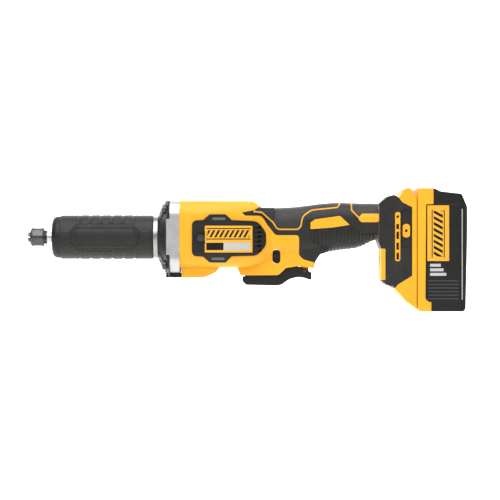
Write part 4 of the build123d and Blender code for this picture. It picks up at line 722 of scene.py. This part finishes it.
# ---- The battery's flanks ----
def pack_ink(colours):
    """Printed battery label: a light ground with two ruled lines and a striped band down it."""
    low_x, high_x, low_z, high_z = PACK_LABEL
    ink = Finish("pack_label", colours.label, 0.30, coat=0.35).vary(0.03, 14.0)
    for x in (low_x + 5.2, high_x - 5.2):
        ink.paint(ink.panel(x - 0.45, x + 0.45, low_z + 3.8, high_z - 4.8), colours.ink)
    slant = ink.math("ADD", ink.axes[2], ink.math("MULTIPLY", ink.axes[0], 0.55))
    stripe = ink.math("PINGPONG", slant, 2.8 * MM)
    dark = ink.math("GREATER_THAN", stripe, 1.4 * MM)
    band = ink.panel(low_x + 6.6, high_x - 6.6, low_z + 4.8, high_z - 5.8)
    ink.paint(ink.math("MULTIPLY", dark, band), colours.ink)
    inside = ink.panel(low_x + 0.6, high_x - 0.6, low_z + 0.6, high_z - 0.6)
    ink.paint(ink.math("SUBTRACT", 1.0, inside), colours.ink)
    ink.bump(ink.noise(2.5, 2.0), 0.02, 0.3)
    return ink.material


class OBJECT_OT_pack_labels(bpy.types.Operator):
    """Lay the printed label, the light charge bars and a light line that is a painted edge highlight on each
    flank of the battery
    """

    bl_idname = "grinder.pack_labels"
    bl_label = "Battery labels"

    def execute(self, context):
        colours = context.scene.grinder_colours
        material = pack_ink(colours)
        # This silver serves both the printed charge bars and the painted edge highlight line.
        light = Finish("silver_print_and_edge_highlight", colours.silver, 0.4).vary(0.04, 6.0).rough(0.34, 0.46, 2.0).material
        for name, side in SIDES.items():
            trees = [tree_of("battery_cover"), tree_of("battery_base")]
            made = flank_plate(rounded(*PACK_LABEL, 1.0), PACK_LABEL[0], PACK_LABEL[1], trees, side, 0.2)
            new_piece(f"pack_label_{name}", made, material, "battery_set", "battery_yellow")
            for index in range(CHARGE_BARS):
                x, z = CHARGE_BAR_START[0], CHARGE_BAR_START[1] + index * CHARGE_BAR_PITCH
                box = (x, x + CHARGE_BAR_LENGTH - index * CHARGE_BAR_SHORTENING, z, z + CHARGE_BAR_HEIGHT)
                made = flank_plate(rounded(*box, 0.6), box[0], box[1], trees, side, 0.15, 24, 3)
                new_piece(f"charge_bar_{index}_{name}", made, light, "battery_set", "dark_plastic")
            # A light strip along the panel's edge: painted highlight where the groove catches the light.
            made = flank_plate(rounded(*PACK_EDGE_HIGHLIGHT, 0.4), PACK_EDGE_HIGHLIGHT[0], PACK_EDGE_HIGHLIGHT[1], trees, side, 0.15, 6, 60)
            new_piece(f"pack_edge_highlight_{name}", made, light, "battery_set", "dark_plastic")
        return {"FINISHED"}


class OBJECT_OT_pack_ribs(bpy.types.Operator):
    """Stack the level grip ribs on each flank of the battery"""

    bl_idname = "grinder.pack_ribs"
    bl_label = "Battery ribs"

    def execute(self, context):
        sizes = context.scene.grinder_battery
        trees = [tree_of("battery_cover")]
        low_x, high_x, low_z = RIB_FIELD
        middle_x = (low_x + high_x) / 2
        bury = 0.5
        step = (0, 0, sizes.rib_pitch)
        bar = (high_x - low_x, sizes.rib_proud + bury, sizes.rib_height)
        for name, side in SIDES.items():
            face = surface_y(trees, middle_x, low_z + 4, side) / MM
            start = (middle_x, side * (face + (sizes.rib_proud - bury) / 2), low_z + sizes.rib_height / 2)
            piece = bar_row(f"pack_ribs_{name}", sizes.rib_count, start, step, bar, finishes()["highlit_rib_plastic"])
            settle(bevel(piece, 0.4, 3), "battery_set", "dark_plastic")
        return {"FINISHED"}


class OBJECT_OT_finish_nodes(bpy.types.Operator):
    """Give every CAD node its finish"""

    bl_idname = "grinder.finish_nodes"
    bl_label = "Node finishes"

    def execute(self, context):
        finish_nodes()
        return {"FINISHED"}


# ---- Floor, light and camera ----
def area_light(name, place, aim, width, height, power):
    lamp = bpy.data.lights.new(name, "AREA")
    lamp.shape = "RECTANGLE"
    lamp.size, lamp.size_y, lamp.energy = width, height, power
    made = bpy.data.objects.new(name, lamp)
    made.location = place
    made.rotation_euler = (Vector(aim) - Vector(place)).to_track_quat("-Z", "Y").to_euler()
    bpy.context.scene.collection.objects.link(made)


def sweep_floor(floor_z):
    """A pale floor that curves up into a backdrop, glowing brighter towards the back as painted light."""
    made = bmesh.new()
    start, bend, steps = 1.3, 0.6, 12
    turns = [step * math.pi / 2 / steps for step in range(1, steps + 1)]
    profile = [(-3.2, 0.0), (start, 0.0)]
    profile += [(start + bend * math.sin(turn), bend - bend * math.cos(turn)) for turn in turns]
    profile += [(start + bend, 2.6)]
    rows = [[made.verts.new((x, y, floor_z + z)) for x in (-3.5, 3.9)] for y, z in profile]
    for low, high in zip(rows, rows[1:]):
        made.faces.new((low[0], low[1], high[1], high[0]))
    mesh = bpy.data.meshes.new("studio_floor")
    made.to_mesh(mesh)
    made.free()
    paper = Finish("studio_paper", (0.93, 0.93, 0.92), 0.9).vary(0.01, 90.0)
    # Painted light: the paper glows, faintly near the tool and brighter on the backdrop.
    paper.shader.inputs["Emission Color"].default_value = (1, 1, 1, 1)
    depth = paper.node("ShaderNodeSeparateXYZ", n0=paper.place).outputs[1]
    painted_backdrop_glow = paper.node("ShaderNodeMapRange", n0=depth, n1=-0.1, n2=0.9, n3=0.25, n4=1.3).outputs[0]
    paper.links.new(painted_backdrop_glow, paper.shader.inputs["Emission Strength"])
    mesh.materials.append(paper.material)
    mesh.polygons.foreach_set("use_smooth", [True] * len(mesh.polygons))
    floor = bpy.data.objects.new("studio_floor", mesh)
    bpy.context.scene.collection.objects.link(floor)


class SCENE_OT_grinder_stage(bpy.types.Operator):
    """Set up the floor, the soft lights and the camera"""

    bl_idname = "grinder.stage"
    bl_label = "Stage"

    def execute(self, context):
        sizes = context.scene.grinder_stage
        low, _ = CAD_BOX
        sweep_floor(low.z - sizes.floor_gap * MM)
        world = bpy.data.worlds.new("studio_world")
        world.use_nodes = True
        world.node_tree.nodes["Background"].inputs[0].default_value = (1, 1, 1, 1)
        world.node_tree.nodes["Background"].inputs[1].default_value = 0.16
        context.scene.world = world
        middle = (sizes.view_x * MM, 0, 0)
        area_light("top_softbox", (0.25, -0.35, 1.25), middle, 1.5, 0.9, 18)
        area_light("front_softbox", (-0.3, -1.6, 1.3), middle, 1.2, 0.8, 20)
        area_light("rear_softbox", (0.6, 1.1, 0.9), middle, 1.2, 0.8, 6)
        near = sizes.distance * MM
        camera = bpy.data.cameras.new("view")
        camera.sensor_width = 36.0
        camera.lens = camera.sensor_width * near / (sizes.view_width * MM)
        camera.clip_end = 20.0
        made = bpy.data.objects.new("view", camera)
        made.location = (sizes.view_x * MM, COVER_LOW.y * MM - near, sizes.view_z * MM)
        made.rotation_euler = (math.pi / 2, 0, 0)
        context.scene.collection.objects.link(made)
        context.scene.camera = made
        context.scene.view_settings.view_transform = "Standard"
        return {"FINISHED"}


class VIEW3D_PT_grinder(bpy.types.Panel):
    """Lists the operators that finish the tool"""

    bl_label = "Grinder"
    bl_idname = "VIEW3D_PT_grinder"
    bl_space_type = "VIEW_3D"
    bl_region_type = "UI"
    bl_category = "Grinder"

    def draw(self, context):
        for operator in OPERATORS:
            self.layout.operator(operator.bl_idname)


GROUPS = {
    "grinder_colours": GrinderColours, "grinder_sleeve": SleeveSizes, "grinder_grip": GripSizes,
    "grinder_battery": BatterySizes, "grinder_stage": StageSizes,
}
OPERATORS = (
    SCENE_OT_grinder_stage, OBJECT_OT_finish_nodes, OBJECT_OT_nose_sleeve, OBJECT_OT_ribbed_grips,
    OBJECT_OT_side_labels, OBJECT_OT_cover_slots, OBJECT_OT_pack_labels, OBJECT_OT_pack_ribs,
)


def register():
    for kind in (*GROUPS.values(), *OPERATORS, VIEW3D_PT_grinder):
        bpy.utils.register_class(kind)
    for name, group in GROUPS.items():
        setattr(bpy.types.Scene, name, PointerProperty(type=group))


def unregister():
    for name in GROUPS:
        delattr(bpy.types.Scene, name)
    for kind in (VIEW3D_PT_grinder, *reversed(OPERATORS), *reversed(GROUPS.values())):
        bpy.utils.unregister_class(kind)


def main():
    register()
    for operator in OPERATORS:
        getattr(bpy.ops.grinder, operator.bl_idname.split(".")[1])()


if __name__ == "__main__":
    main()
